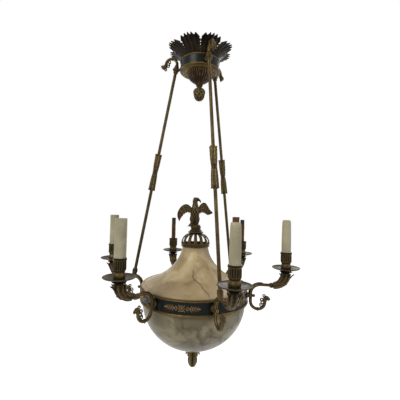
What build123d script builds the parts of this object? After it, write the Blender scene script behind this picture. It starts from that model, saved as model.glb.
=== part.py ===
from build123d import *
import os
from math import asin, atan2, cos, hypot, pi, sin, sqrt

# A hanging chandelier: a leaf crown, three rods, a covered alabaster bowl in a ring, and six candle arms.
# Millimetres, +Z up, origin at the centre of the hook hole. The front is -Y.
# Arms are counted from the front right, anticlockwise seen from above. Arms 1, 3 and 5 carry the rods.

# Clearances
RUNNING_FIT = 0.05  # play round the swing pin
SLIP_FIT = 0.1  # play round a piece that slips into another
SIDE_GAP = 0.3  # free gap beside a face that moves

# Counts and angles
ARM_COUNT = 6
ROD_COUNT = 3
FIRST_ARM_ANGLE = -71.0
SLEEVED_ARMS = (1, 2, 5, 6)
LEAF_COUNT = 8
GALLERY_SLOTS = 14
BOWL_STEPS = 8  # knots on the bowl's curve, less one
CUP_FLUTES = 16
LEAF_TIPS_ON_SLEEVE = 6
HORN_LEAVES = 8

# Hanging eye, swing pin and stem
HOOK_HOLE_R = 7.5
EYE_WALL = 4.5  # metal round the hook hole
EYE_THICK = 6.0
PIN_DROP = 24.0  # hook hole to swing pin
PIN_R = 3.0
PIN_HEAD_R = 4.8
PIN_HEAD_H = 2.0
FORK_WALL = 4.0
FORK_EAR_R = 8.0
FORK_FLOOR = 7.0
FORK_FLOOR_GAP = 1.0
STEM_R = 5.0
STEM_IN_ACORN = 22.0
NUT_FLATS = 1.65  # a nut's width across flats, in thread diameters
NUT_H = 5.0

# Crown
CROWN_DROP = 62.0  # hook hole to the upper edge of the crown band
CROWN_R = 56.0
CROWN_WALL = 2.5
CROWN_BAND_H = 22.0
TOP_RING_H = 4.5
TOP_RING_W = 9.5
RING_LIP = 1.5  # how far the gilt rings of the crown stand out past its band
BASE_LIP_H = 4.0
BASE_STEP = 1.5  # height of each step under the crown base
BASE_STEP_W = 4.0
BASE_LAND_W = 6.0  # lip's flat underside before the first step
BASE_PLATE = 5.0
BASE_SPIGOT_H = 1.0
BASE_SPIGOT_W = 3.2
BELL_R = 35.0
BELL_RING_H = 5.0
BELL_H = 36.0
BELL_WALL = 2.5
BELL_NECK_R = 9.0
ACORN_H = 44.5
ACORN_R = 17.4
ACORN_NECK_H = 9.0
ACORN_CAP_H = 12.0
ACORN_STEP = 1.2  # cap's edge past the nut

# Crown leaves
LEAF_T = 2.0
LEAF_ROOT_INSET = 5.0  # from the crown's outside to the leaf's inner face
LEAF_ROOT_W = 37.0
LEAF_H = 41.0
LEAF_FLARE = 30.0  # how far the tip leans out past the root
LEAF_LEAN = 0.2  # outward slope of the leaf at its root
LEAF_TIPS = 5
LEAF_FAN = 26.0  # half angle of the fan of tips
LEAF_FAN_DROP = 14.0  # fan's centre below the root
LEAF_NOTCH = 5.0

# Lugs, rods, crooks and rod sleeves
LUG_RISE = 8.0  # lower edge of the crown band to the lugs
LUG_REACH = 15.0  # band to rod axis
LUG_EYE_WALL = 4.9
LUG_H = 8.0
LUG_ARM_R = 4.0
LUG_FLANGE_R = 7.0
LUG_FLANGE_T = 2.5
LUG_STUD_R = 3.0
ROD_R = 4.5
ROD_COLLAR_W = 2.5
ROD_COLLAR_H = 5.0
ROD_IN_CROOK = 7.0
CROOK_FOOT_WALL = 2.0
CROOK_RISE = 10.0  # lug to the start of the crook's bend
CROOK_R = 17.3
SLEEVE_LEAF_L = 48.0
SLEEVE_RING_L = 12.0
SLEEVE_WALL = 3.8  # near the double ring
SLEEVE_TIP_WALL = 4.85  # at the leaf tips
SLEEVE_RING_WALL = 6.0
SLEEVE_NOTCH_R = 3.4
SLEEVE_DROP = 7.0  # middle of the rod down to the middle of its sleeve

# Bird heads at the ends of crooks and arms
STRAND_R = 4.0
NECK_L = 8.0
NECK_TOP_R = 4.8
HEAD_R = 6.0
BEAK_R = 3.6
BEAK_TIP_R = 0.6
BEAK_L = 12.0
BEAK_DIP = 10.0  # degrees that the beak points down past square
CREST_R = 3.4
CREST_WIRE_R = 1.4
CREST_INSET = 2.6  # strand's inner side to the crest's loops
CREST_STEP = 40.0  # degrees from loop to loop
HOOK_BEAD_R = 1.4

# Arms
EYE_TO_PAN = 632.0  # hook hole down to the rims of the drip pans
ARM_REACH = 249.0  # central axis to candle axis
STRAND_GAP = 10.0  # bowl band to the middle of an arm's upright run
KNEE_R = 25.0
HOOK_R = 19.5
HOOK_DROP = 15.5  # arm bolt to the middle of the hook
FLANGE_R = 9.5
FLANGE_T = 3.0
STUB_R = 5.5
BOLT_R = 2.5
BOLT_BALL_R = 4.2
BOLT_BALL_RISE = 3.4  # arm's boss to the ball's middle
BOLT_BOSS = 1.0  # boss standing out past the arm under the ball
SOCKET_WALL = 2.6
SOCKET_H = 17.0
SOCKET_FLOOR = 6.0

# Horns, drip pans, candle cups, tubes and sleeves
HORN_BEND_R = 34.0
HORN_COLLAR_L = 8.0
HORN_COLLAR_WALL = 2.6
HORN_TENON_L = 8.0  # how far the arm's end runs into the horn
HORN_ROOT_R = 6.0
HORN_TOP_R = 11.5
HORN_NECK_H = 10.0
HORN_RING_W = 5.0
HORN_RING_H = 5.0
HORN_TIP_R = 21.0
HORN_LEAF_H = 14.0
HORN_LEAF_T = 2.2
HORN_NOTCH_R = 5.0
PAN_R = 36.5
PAN_DEPTH = 7.0
PAN_T = 2.5
PAN_FLAT_R = 15.0
CUP_H = 40.0  # above the pan's rim
CUP_WALL = 1.5
CUP_FOOT_R = 13.4
CUP_WAIST_R = 11.6
CUP_WAIST_Z = 11.0  # above the pan's rim
CUP_BODY_R = 14.0
CUP_RIM_H = 4.5
CUP_SEAT = 5.0  # how deep a sleeve sits in the cup
CUP_LEDGE_W = 2.2
CUP_FLOOR = 5.0
FLUTE_R = 1.6
TUBE_R = 7.25
TUBE_WALL = 1.75
TUBE_TOP = 115.0  # above the pan's rim
TUBE_IN_HORN = 5.0
FRONT_TUBE_RISE = 21.0  # the front right tube stands taller and shows above its sleeve
SLEEVE_R = 13.3
SLEEVE_T = 1.5
SLEEVE_TOP = 126.0  # above the pan's rim
TAPER_FOOT_R = 12.3
TAPER_TOP_R = 10.8
TAPER_ROUND = 3.0
TAPER_HOLE_GAP = 0.6  # free gap between the tube and a tapered sleeve's top hole

# Bowl ring, bowl and its fittings
BAND_R = 147.0
BAND_WALL = 3.0
BAND_H = 28.0
BAND_BELOW_ARM = 17.0  # middle of the level arm to the band's upper edge
TOP_RIM_H = 4.0
TOP_RIM_IN = 6.0
TOP_RIM_OUT = 2.0
BOTTOM_RIM_H = 7.0
BOTTOM_RIM_IN = 11.0
BOTTOM_RIM_OUT = 3.5
BOWL_INSET = 4.6  # band's outside to the bowl's edge
BOWL_DEPTH = 132.6
BOWL_WALL = 7.0
BOWL_FLAT_R = 18.0
BOWL_ROD_R = 4.0
SPIDER_T = 4.0
SPIDER_W = 14.0
SPIDER_HUB_R = 16.0
WASHER_R = 15.0
WASHER_T = 2.0
FINIAL_H = 57.0
FINIAL_R = 18.5
FINIAL_BUD_R = 13.0
FINIAL_NECK_R = 10.5
FINIAL_DISC_H = 16.0
ROD_IN_FINIAL = 25.0
ORNAMENT_T = 1.6
ORNAMENT_L = 92.0
ORNAMENT_ROSE_R = 7.0
ORNAMENT_BAR_H = 2.4
ORNAMENT_LEAF_L = 7.5
ORNAMENT_LEAF_W = 3.2
ORNAMENT_LEAVES = 4  # pairs of leaves on each side of the rosette

# Lid, gallery and eagle
LID_H = 111.0
LID_WALL = 7.0
LID_LIP_H = 7.0
LID_LIP_W = 5.0
LID_NECK_R = 36.0
LID_NECK_FLARE = 3.0
LID_NECK_PULL = 46.0  # how far the neck runs steeply down
LID_RIM_PULL = 64.0  # how far the rim runs gently in
LID_RIM_RISE = 19.0
GALLERY_WALL = 2.5
GALLERY_SKIRT = 2.5
GALLERY_RING_H = 7.0
GALLERY_FLOOR = 2.0
GALLERY_DOME_H = 28.0
GALLERY_HUB_R = 16.0
GALLERY_DISC_R = 21.0
GALLERY_DISC_H = 5.0
GALLERY_SLOT_W = 7.5
GALLERY_SLOT_H = 17.0
GALLERY_SLOT_RISE = 2.0  # slots' lower ends above the ring
PLINTH_R = 14.0
PLINTH_FOOT_R = 17.0
PLINTH_H = 11.0
EAGLE_STUD_R = 4.0
EAGLE_H = 85.0  # plinth to the top of the head
EAGLE_LEAN = -3.0  # body's middle, left of the axis
EAGLE_BODY_R = 13.0
EAGLE_BODY_H = 58.0
EAGLE_NECK_R = 7.6
EAGLE_HEAD_R = 9.5
EAGLE_BEAK_R = 5.7
EAGLE_BEAK_TIP_R = 1.0
EAGLE_BEAK_L = 15.0
EAGLE_WING_T = 6.0
EAGLE_SHOULDER = 64.0  # wing roots above the plinth
WING_SPAN = 51.0  # body's middle to a wing's outer edge
WING_BEND = 0.55  # share of the span where a wing turns down
WING_TIP = 0.85  # share of the span where a wing's tip lies
WING_DROP = 52.0
WING_SWEEP = 12.0  # degrees that the wings are swept back
TAIL_L = 26.0
TAIL_W = 30.0
LEG_R = 3.5
LEG_GAP = 6.0

# Heights, from the hook hole down
eye_end_r = HOOK_HOLE_R + EYE_WALL
fork_gap = EYE_THICK + 2 * SIDE_GAP
fork_depth = fork_gap + 2 * FORK_WALL
slot_floor = -(PIN_DROP + eye_end_r + FORK_FLOOR_GAP)
fork_bottom = slot_floor - FORK_FLOOR
crown_top = -CROWN_DROP
crown_bottom = crown_top - CROWN_BAND_H
leaf_root = crown_top + TOP_RING_H
base_bottom = crown_bottom - BASE_LIP_H - 2 * BASE_STEP
bell_bottom = base_bottom - BELL_H
stem_end = bell_bottom - STEM_IN_ACORN
pan_rim = -EYE_TO_PAN
pan_seat = pan_rim - PAN_DEPTH
pan_floor = pan_seat + PAN_T
horn_bend_top = pan_seat - HORN_NECK_H
arm_level = horn_bend_top - HORN_BEND_R
band_top = arm_level - BAND_BELOW_ARM
band_bottom = band_top - BAND_H
bolt_level = (band_top + band_bottom) / 2
hook_level = bolt_level - HOOK_DROP
lid_seat = band_top + TOP_RIM_H
lid_top = lid_seat + LID_H
bowl_top = band_bottom - BOTTOM_RIM_H

# Distances from the central axis
strand_reach = BAND_R + STRAND_GAP
knee_reach = strand_reach + KNEE_R
horn_joint = ARM_REACH - HORN_BEND_R
hook_reach = strand_reach + HOOK_R
bolt_seat = strand_reach + STRAND_R + BOLT_BOSS
bowl_r = BAND_R - BOWL_INSET
cup_rim_r = SLEEVE_R + SLIP_FIT + CUP_WALL
tube_hole_r = TUBE_R + SLIP_FIT

# Rods lean in from the arms' knees to the crown's lugs
lug_level = crown_bottom + LUG_RISE
lug_reach = CROWN_R + LUG_REACH
rod_length = hypot(knee_reach - lug_reach, lug_level - arm_level)
rod_lean = atan2(knee_reach - lug_reach, lug_level - arm_level)
rod_up = (-sin(rod_lean), 0, cos(rod_lean))
rod_out = (cos(rod_lean), 0, sin(rod_lean))
lug_point = (lug_reach, 0, lug_level)
rod_axis = Axis(lug_point, rod_up)
rod_across = Plane(origin=lug_point, x_dir=rod_out, z_dir=rod_up)  # square to the rod, at its lug
rod_side = Plane(origin=lug_point, x_dir=rod_out, z_dir=(0, -1, 0))  # X away from the rod, Y up along it

arm_angles = [FIRST_ARM_ANGLE + 360 / ARM_COUNT * index for index in range(ARM_COUNT)]
rod_angles = arm_angles[:: ARM_COUNT // ROD_COUNT]
candle_axis = Axis((ARM_REACH, 0, 0), (0, 0, 1))

os.makedirs("parts", exist_ok=True)


def export(piece, name):
    """Label a finished piece and write it as a node."""
    piece.label = name
    export_step(piece, f"parts/{name}.step")


def export_turned(piece, name, angle):
    """Write a piece as a node, turned about the central axis."""
    with BuildPart() as turned:
        add(piece, rotation=(0, 0, angle), clean=False)
    export(turned.part, name)


def export_group(piece, name, angles):
    """Write copies of a piece, turned to each angle about the central axis, as one node."""
    with BuildPart() as group:
        for angle in angles:
            add(piece, rotation=(0, 0, angle), clean=False)
    export(group.part, name)


def turned_to(angles, level):
    """Places on the central axis at a level, each with its X axis turned to one of the angles."""
    return Locations(*[Location((0, 0, level), (0, 0, angle)) for angle in angles])


def add_nut(plane, thread_r):
    """A hexagon nut that stands on a plane."""
    with BuildSketch(plane) as hexagon:
        RegularPolygon(NUT_FLATS * thread_r, 6, major_radius=False)
        Circle(thread_r + SLIP_FIT, mode=Mode.SUBTRACT)
    extrude(hexagon.sketch, amount=NUT_H)


def nut_seat(wall_r, thread_r):
    """How far out a nut can lie inside a round wall before its corners meet the wall."""
    corner_r = NUT_FLATS * thread_r * 2 / sqrt(3)
    return sqrt(wall_r**2 - corner_r**2) - SLIP_FIT


def add_bird_head(hook, hook_r):
    """Neck, head, beak and looped crest on a strand's end.

    The plane lies at the hook's middle, X outwards and Y along the strand's end.
    """
    from_foot = (Align.CENTER, Align.CENTER, Align.MIN)
    with Locations(hook):
        with Locations((hook_r, 0, 0)):
            Cone(STRAND_R, NECK_TOP_R, NECK_L, rotation=(-90, 0, 0), align=from_foot)
        with Locations((hook_r, NECK_L, 0)):
            Sphere(HEAD_R)
            beak_turn = (0, 90, -BEAK_DIP)
            Cone(BEAK_R, BEAK_TIP_R, BEAK_L, rotation=beak_turn, align=from_foot)
        with PolarLocations(hook_r - STRAND_R - CREST_INSET, 3, -CREST_STEP, 3 * CREST_STEP, rotate=False):
            Torus(CREST_R, CREST_WIRE_R, rotation=(0, 0, CREST_STEP / 2))


# Hanging eye: a flat link with the hook hole above and the swing pin's hole below
with BuildPart() as hanger_eye:
    with BuildSketch(Plane.XZ):
        with Locations((0, -PIN_DROP / 2)):
            SlotCenterToCenter(PIN_DROP, 2 * eye_end_r, rotation=90)
        Circle(HOOK_HOLE_R, mode=Mode.SUBTRACT)
        with Locations((0, -PIN_DROP)):
            Circle(PIN_R + RUNNING_FIT, mode=Mode.SUBTRACT)
    extrude(amount=EYE_THICK / 2, both=True)
export(hanger_eye.part, "hanger_eye")

# Swing pin, headed at both ends
with BuildPart() as swing_pin:
    with BuildSketch(Plane.XZ):
        with Locations((0, -PIN_DROP)):
            Circle(PIN_R)
    extrude(amount=fork_depth / 2, both=True)
    for side in (-1, 1):
        with BuildSketch(Plane.XZ.offset(side * fork_depth / 2)):
            with Locations((0, -PIN_DROP)):
                Circle(PIN_HEAD_R)
        extrude(amount=side * PIN_HEAD_H)
export(swing_pin.part, "swing_pin")

# Stem: a fork for the eye, and a rod down through the crown into the acorn
with BuildPart() as crown_stem:
    with BuildSketch(Plane.XZ):
        with Locations((0, -PIN_DROP)):
            Circle(FORK_EAR_R)
        with Locations((0, (fork_bottom - PIN_DROP) / 2)):
            Rectangle(2 * FORK_EAR_R, -PIN_DROP - fork_bottom)
    extrude(amount=fork_depth / 2, both=True)
    with BuildSketch(Plane.XZ):
        with Locations((0, slot_floor)):
            Rectangle(3 * FORK_EAR_R, FORK_EAR_R - PIN_DROP - slot_floor, align=(Align.CENTER, Align.MIN))
    extrude(amount=fork_gap / 2, both=True, mode=Mode.SUBTRACT)
    with BuildSketch(Plane.XZ):
        with Locations((0, -PIN_DROP)):
            Circle(PIN_R + RUNNING_FIT)
    extrude(amount=fork_depth, both=True, mode=Mode.SUBTRACT)
    with BuildSketch(Plane.XY.offset(stem_end)):
        Circle(STEM_R)
    extrude(amount=fork_bottom - stem_end)
export(crown_stem.part, "crown_stem")

# Crown band, a painted hoop with holes for the lugs' studs
with BuildPart() as crown_band:
    with BuildSketch(Plane.XY.offset(crown_bottom)):
        Circle(CROWN_R)
        Circle(CROWN_R - CROWN_WALL, mode=Mode.SUBTRACT)
    extrude(amount=CROWN_BAND_H)
    with turned_to(rod_angles, lug_level):
        Cylinder(
            LUG_STUD_R + SLIP_FIT,
            2 * CROWN_R,
            rotation=(0, 90, 0),
            align=(Align.CENTER, Align.CENTER, Align.MIN),
            mode=Mode.SUBTRACT,
        )
export(crown_band.part, "crown_band")

# Gilt ring on the band, which carries the leaves
with BuildPart() as crown_top_ring:
    with BuildSketch(Plane.XZ) as ring_section:
        with Locations((CROWN_R + RING_LIP, crown_top)):
            Rectangle(TOP_RING_W, TOP_RING_H, align=(Align.MAX, Align.MIN))
        fillet(ring_section.vertices().group_by(Axis.X)[-1], TOP_RING_H / 3)
    revolve(axis=Axis.Z)
export(crown_top_ring.part, "crown_top_ring")

# Crown base: a stepped moulding with a spigot inside the band
base_lip_r = CROWN_R + RING_LIP
base_step_r = base_lip_r - BASE_LAND_W
base_plate_top = base_bottom + BASE_PLATE
spigot_r = CROWN_R - CROWN_WALL - SLIP_FIT
with BuildPart() as crown_base:
    with BuildSketch(Plane.XZ):
        with BuildLine():
            Polyline(
                (STEM_R + SLIP_FIT, base_bottom),
                (base_step_r - BASE_STEP_W, base_bottom),
                (base_step_r - BASE_STEP_W, base_bottom + BASE_STEP),
                (base_step_r, base_bottom + BASE_STEP),
                (base_step_r, base_bottom + 2 * BASE_STEP),
                (base_lip_r, base_bottom + 2 * BASE_STEP),
                (base_lip_r, crown_bottom),
                (spigot_r, crown_bottom),
                (spigot_r, crown_bottom + BASE_SPIGOT_H),
                (spigot_r - BASE_SPIGOT_W, crown_bottom + BASE_SPIGOT_H),
                (spigot_r - BASE_SPIGOT_W, base_plate_top),
                (STEM_R + SLIP_FIT, base_plate_top),
                close=True,
            )
        make_face()
    revolve(axis=Axis.Z)
export(crown_base.part, "crown_base")

# Bell under the crown, a hollow turned cup on the stem
bell_shoulder = base_bottom - BELL_RING_H
with BuildPart() as crown_bell:
    with BuildSketch(Plane.XZ):
        with BuildLine():
            Polyline((STEM_R + SLIP_FIT, base_bottom), (BELL_R, base_bottom), (BELL_R, bell_shoulder))
            TangentArc((BELL_R, bell_shoulder), (BELL_NECK_R, bell_bottom), tangent=(0, -1))
            Polyline(
                (BELL_NECK_R, bell_bottom),
                (STEM_R + SLIP_FIT, bell_bottom),
                (STEM_R + SLIP_FIT, base_bottom),
            )
        make_face()
    revolve(axis=Axis.Z)
    with BuildSketch(Plane.XZ):
        with BuildLine():
            hollow_r = BELL_R - BELL_WALL
            hollow_neck_r = STEM_R + SLIP_FIT + BELL_WALL
            hollow_floor = bell_bottom + BELL_NECK_R
            Polyline((STEM_R + SLIP_FIT, base_bottom), (hollow_r, base_bottom), (hollow_r, bell_shoulder))
            TangentArc((hollow_r, bell_shoulder), (hollow_neck_r, hollow_floor), tangent=(0, -1))
            Polyline(
                (hollow_neck_r, hollow_floor),
                (STEM_R + SLIP_FIT, hollow_floor),
                (STEM_R + SLIP_FIT, base_bottom),
            )
        make_face()
    revolve(axis=Axis.Z, mode=Mode.SUBTRACT)
export(crown_bell.part, "crown_bell")

# Acorn finial, screwed on the stem's end
acorn_cap_top = bell_bottom - ACORN_NECK_H
acorn_cap_bottom = acorn_cap_top - ACORN_CAP_H
acorn_tip = bell_bottom - ACORN_H
with BuildPart() as crown_acorn:
    with BuildSketch(Plane.XZ):
        with BuildLine():
            Polyline(
                (0, acorn_tip),
                (0, bell_bottom),
                (BELL_NECK_R, bell_bottom),
                (BELL_NECK_R, acorn_cap_top),
            )
            Spline((BELL_NECK_R, acorn_cap_top), (ACORN_R, acorn_cap_bottom), tangents=((1, 0), (0, -1)))
            Line((ACORN_R, acorn_cap_bottom), (ACORN_R - ACORN_STEP, acorn_cap_bottom))
            Spline((ACORN_R - ACORN_STEP, acorn_cap_bottom), (0, acorn_tip), tangents=((0, -1), (-1, -0.5)))
        make_face()
    revolve(axis=Axis.Z)
    with BuildSketch(Plane.XY.offset(stem_end - SIDE_GAP)):
        Circle(STEM_R + SLIP_FIT)
    extrude(amount=bell_bottom - stem_end + SIDE_GAP, mode=Mode.SUBTRACT)
export(crown_acorn.part, "crown_acorn")

# Crown leaf: a flared shell cut to a palmette with a fan of tips
leaf_root_r = CROWN_R - LEAF_ROOT_INSET
with BuildPart() as crown_leaf:
    with BuildSketch(Plane.XZ):
        with BuildLine():
            leaf_rise = (LEAF_LEAN, 1)
            inner_foot = (leaf_root_r, leaf_root)
            inner_tip = (leaf_root_r + LEAF_FLARE, leaf_root + LEAF_H)
            outer_foot = (leaf_root_r + LEAF_T, leaf_root)
            outer_tip = (leaf_root_r + LEAF_FLARE + LEAF_T, leaf_root + LEAF_H)
            TangentArc(inner_foot, inner_tip, tangent=leaf_rise)
            Line(inner_tip, outer_tip)
            TangentArc(outer_foot, outer_tip, tangent=leaf_rise)
            Line(outer_foot, inner_foot)
        make_face()
    revolve(axis=Axis.Z)
    fan_r = LEAF_H + LEAF_FAN_DROP
    fan_points = [
        Vector(0, fan_r - LEAF_NOTCH * (index % 2)).rotate(Axis.Z, LEAF_FAN * (index / (LEAF_TIPS - 1) - 1))
        for index in range(2 * LEAF_TIPS - 1)
    ]
    with BuildSketch(Plane.YZ):
        with BuildLine():
            Polyline(
                (LEAF_ROOT_W / 2, leaf_root),
                *[(point.X, point.Y + leaf_root - LEAF_FAN_DROP) for point in fan_points],
                (-LEAF_ROOT_W / 2, leaf_root),
                close=True,
            )
        make_face()
    extrude(amount=2 * CROWN_R, mode=Mode.INTERSECT)
leaf_angles = [360 / LEAF_COUNT * (index + 0.5) - 90 for index in range(LEAF_COUNT)]
export_group(crown_leaf.part, "crown_leaves", leaf_angles)

# Lug: a flanged arm on the crown band, an eye for the rod and a stud through the band
with BuildPart() as crown_lug:
    with Locations((CROWN_R - CROWN_WALL, 0, lug_level)):
        Cylinder(
            LUG_FLANGE_R,
            CROWN_WALL + LUG_FLANGE_T,
            rotation=(0, 90, 0),
            align=(Align.CENTER, Align.CENTER, Align.MIN),
        )
        Cylinder(
            LUG_ARM_R,
            CROWN_WALL + LUG_REACH,
            rotation=(0, 90, 0),
            align=(Align.CENTER, Align.CENTER, Align.MIN),
        )
    with BuildSketch(rod_across):
        Circle(ROD_R + SLIP_FIT + LUG_EYE_WALL)
    extrude(amount=LUG_H / 2, both=True)
    with Locations((0, 0, lug_level)):
        Cylinder(CROWN_R, 4 * LUG_FLANGE_R, mode=Mode.SUBTRACT)
    lug_nut_seat = nut_seat(CROWN_R - CROWN_WALL, LUG_STUD_R)
    with Locations((lug_nut_seat - NUT_H - LUG_STUD_R, 0, lug_level)):
        Cylinder(
            LUG_STUD_R,
            CROWN_R + LUG_FLANGE_T - lug_nut_seat + NUT_H + LUG_STUD_R,
            rotation=(0, 90, 0),
            align=(Align.CENTER, Align.CENTER, Align.MIN),
        )
    with BuildSketch(rod_across):
        Circle(ROD_R + SLIP_FIT)
    extrude(amount=LUG_H, both=True, mode=Mode.SUBTRACT)
    for face_level, depth in ((LUG_H / 2, LUG_H), (-LUG_H / 2, -LUG_H)):
        with BuildSketch(rod_across.offset(face_level)):
            Circle(ROD_R + SLIP_FIT + LUG_EYE_WALL)
        extrude(amount=depth, mode=Mode.SUBTRACT)
export_group(crown_lug.part, "crown_lugs", rod_angles)

# Rod: from the arm's socket to the crook, with a collar on the socket and one under the lug
rod_foot = -rod_length + SOCKET_FLOOR + SIDE_GAP
rod_head = LUG_H / 2 + ROD_IN_CROOK
with BuildPart() as hanger_rod:
    with BuildSketch(rod_across.offset(rod_foot)):
        Circle(ROD_R)
    extrude(amount=rod_head - rod_foot)
    for collar_foot in (-rod_length + SOCKET_H, -LUG_H / 2 - ROD_COLLAR_H):
        with BuildSketch(rod_across.offset(collar_foot)):
            Circle(ROD_R + ROD_COLLAR_W)
        extrude(amount=ROD_COLLAR_H)

# Crook: a foot on the rod's end, a bend outwards and a hanging bird head
crook_bend = LUG_H / 2 + CROOK_RISE
crook_middle = rod_side.from_local_coords((CROOK_R, crook_bend, 0))
crook_hook = Plane(origin=crook_middle, x_dir=rod_out, z_dir=(0, 1, 0))
with BuildPart() as crook:
    with BuildLine(rod_side):
        Line((0, crook_bend - STRAND_R), (0, crook_bend))
        CenterArc((CROOK_R, crook_bend), CROOK_R, 180, -180)
    with BuildSketch(rod_across.offset(crook_bend - STRAND_R)):
        Circle(STRAND_R)
    sweep()
    with BuildSketch(rod_across.offset(LUG_H / 2)):
        Circle(ROD_R + SLIP_FIT + CROOK_FOOT_WALL)
    extrude(amount=CROOK_RISE)
    with BuildSketch(rod_across.offset(LUG_H / 2)):
        Circle(ROD_R + SLIP_FIT)
    extrude(amount=ROD_IN_CROOK + SIDE_GAP, mode=Mode.SUBTRACT)
    add_bird_head(crook_hook, CROOK_R)

# Rod sleeve: two leaf cups, tip outwards, on each side of a double ring
sleeve_middle = (rod_foot + rod_head) / 2 - SLEEVE_DROP
sleeve_half = SLEEVE_RING_L / 2 + SLEEVE_LEAF_L
with BuildPart() as rod_sleeve:
    with BuildSketch(rod_side) as sleeve_section:
        with BuildLine():
            bore = ROD_R + SLIP_FIT
            Polyline(
                (bore, sleeve_middle - sleeve_half),
                (ROD_R + SLEEVE_TIP_WALL, sleeve_middle - sleeve_half),
                (ROD_R + SLEEVE_WALL, sleeve_middle - SLEEVE_RING_L / 2),
                (ROD_R + SLEEVE_RING_WALL, sleeve_middle - SLEEVE_RING_L / 4),
                (ROD_R + SLEEVE_WALL, sleeve_middle),
                (ROD_R + SLEEVE_RING_WALL, sleeve_middle + SLEEVE_RING_L / 4),
                (ROD_R + SLEEVE_WALL, sleeve_middle + SLEEVE_RING_L / 2),
                (ROD_R + SLEEVE_TIP_WALL, sleeve_middle + sleeve_half),
                (bore, sleeve_middle + sleeve_half),
                close=True,
            )
        make_face()
    revolve(axis=rod_axis)
    for end in (-sleeve_half, sleeve_half):
        with Locations(rod_across.offset(sleeve_middle + end)):
            with PolarLocations(ROD_R + SLEEVE_TIP_WALL, LEAF_TIPS_ON_SLEEVE):
                Cylinder(SLEEVE_NOTCH_R, SLEEVE_TIP_WALL, rotation=(0, 90, 0), mode=Mode.SUBTRACT)

for number, angle in enumerate(rod_angles, start=1):
    export_turned(hanger_rod.part, f"hanger_rod_{number}", angle)
    export_turned(crook.part, f"crook_{number}", angle)
export_group(rod_sleeve.part, "rod_sleeves", rod_angles)

# Arm: tenon and collar, level run, knee, upright run on the band and a hook that ends in a bird head
hook_plane = Plane(origin=(hook_reach, 0, hook_level), x_dir=(1, 0, 0), z_dir=(0, -1, 0))
with BuildPart() as arm:
    with BuildLine(Plane.XZ) as strand:
        Line((horn_joint + HORN_TENON_L - SIDE_GAP, arm_level), (knee_reach, arm_level))
        CenterArc((knee_reach, arm_level - KNEE_R), KNEE_R, 90, 90)
        Line((strand_reach, arm_level - KNEE_R), (strand_reach, hook_level))
        CenterArc((hook_reach, hook_level), HOOK_R, 180, 180)
    with BuildSketch(Plane(origin=strand.line @ 0, z_dir=strand.line % 0)):
        Circle(STRAND_R)
    sweep()
    with Locations((BAND_R - BAND_WALL, 0, bolt_level)):
        Cylinder(
            FLANGE_R,
            BAND_WALL + FLANGE_T,
            rotation=(0, 90, 0),
            align=(Align.CENTER, Align.CENTER, Align.MIN),
        )
        Cylinder(
            STUB_R,
            bolt_seat - BAND_R + BAND_WALL,
            rotation=(0, 90, 0),
            align=(Align.CENTER, Align.CENTER, Align.MIN),
        )
    with Locations((0, 0, bolt_level)):
        Cylinder(BAND_R, 4 * FLANGE_R, mode=Mode.SUBTRACT)
    with Locations((BAND_R, 0, bolt_level)):
        Cylinder(BOLT_R + SLIP_FIT, 4 * STRAND_GAP, rotation=(0, 90, 0), mode=Mode.SUBTRACT)
    with Locations((hook_reach, 0, hook_level - HOOK_R)):
        Torus(STRAND_R, HOOK_BEAD_R, rotation=(0, 90, 0))
    add_bird_head(hook_plane, HOOK_R)
    with Locations((horn_joint, 0, arm_level)):
        Cylinder(
            STRAND_R + HORN_COLLAR_WALL,
            HORN_COLLAR_L,
            rotation=(0, -90, 0),
            align=(Align.CENTER, Align.CENTER, Align.MIN),
        )

# Arm that carries a rod: the same casting with a leaning socket on its knee
with BuildPart() as rod_arm:
    add(arm.part)
    with BuildSketch(rod_across.offset(-rod_length)):
        Circle(ROD_R + SLIP_FIT + SOCKET_WALL)
    extrude(amount=SOCKET_H)
    with BuildSketch(rod_across.offset(-rod_length + SOCKET_FLOOR)):
        Circle(ROD_R + SLIP_FIT)
    extrude(amount=SOCKET_H, mode=Mode.SUBTRACT)

# Arm bolt: a ball head on the arm's boss, a shank through arm and band, and its nut
arm_nut_seat = nut_seat(BAND_R - BAND_WALL, BOLT_R)
with BuildPart() as arm_bolt:
    with Locations((bolt_seat + BOLT_BALL_RISE, 0, bolt_level)):
        Sphere(BOLT_BALL_R)
    with Locations((0, 0, bolt_level)):
        Box(2 * bolt_seat, 4 * BOLT_BALL_R, 4 * BOLT_BALL_R, mode=Mode.SUBTRACT)
    with Locations((arm_nut_seat - NUT_H - BOLT_R, 0, bolt_level)):
        Cylinder(
            BOLT_R,
            bolt_seat - arm_nut_seat + NUT_H + 2 * BOLT_R,
            rotation=(0, 90, 0),
            align=(Align.CENTER, Align.CENTER, Align.MIN),
        )
export_group(arm_bolt.part, "arm_bolts", arm_angles)

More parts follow.
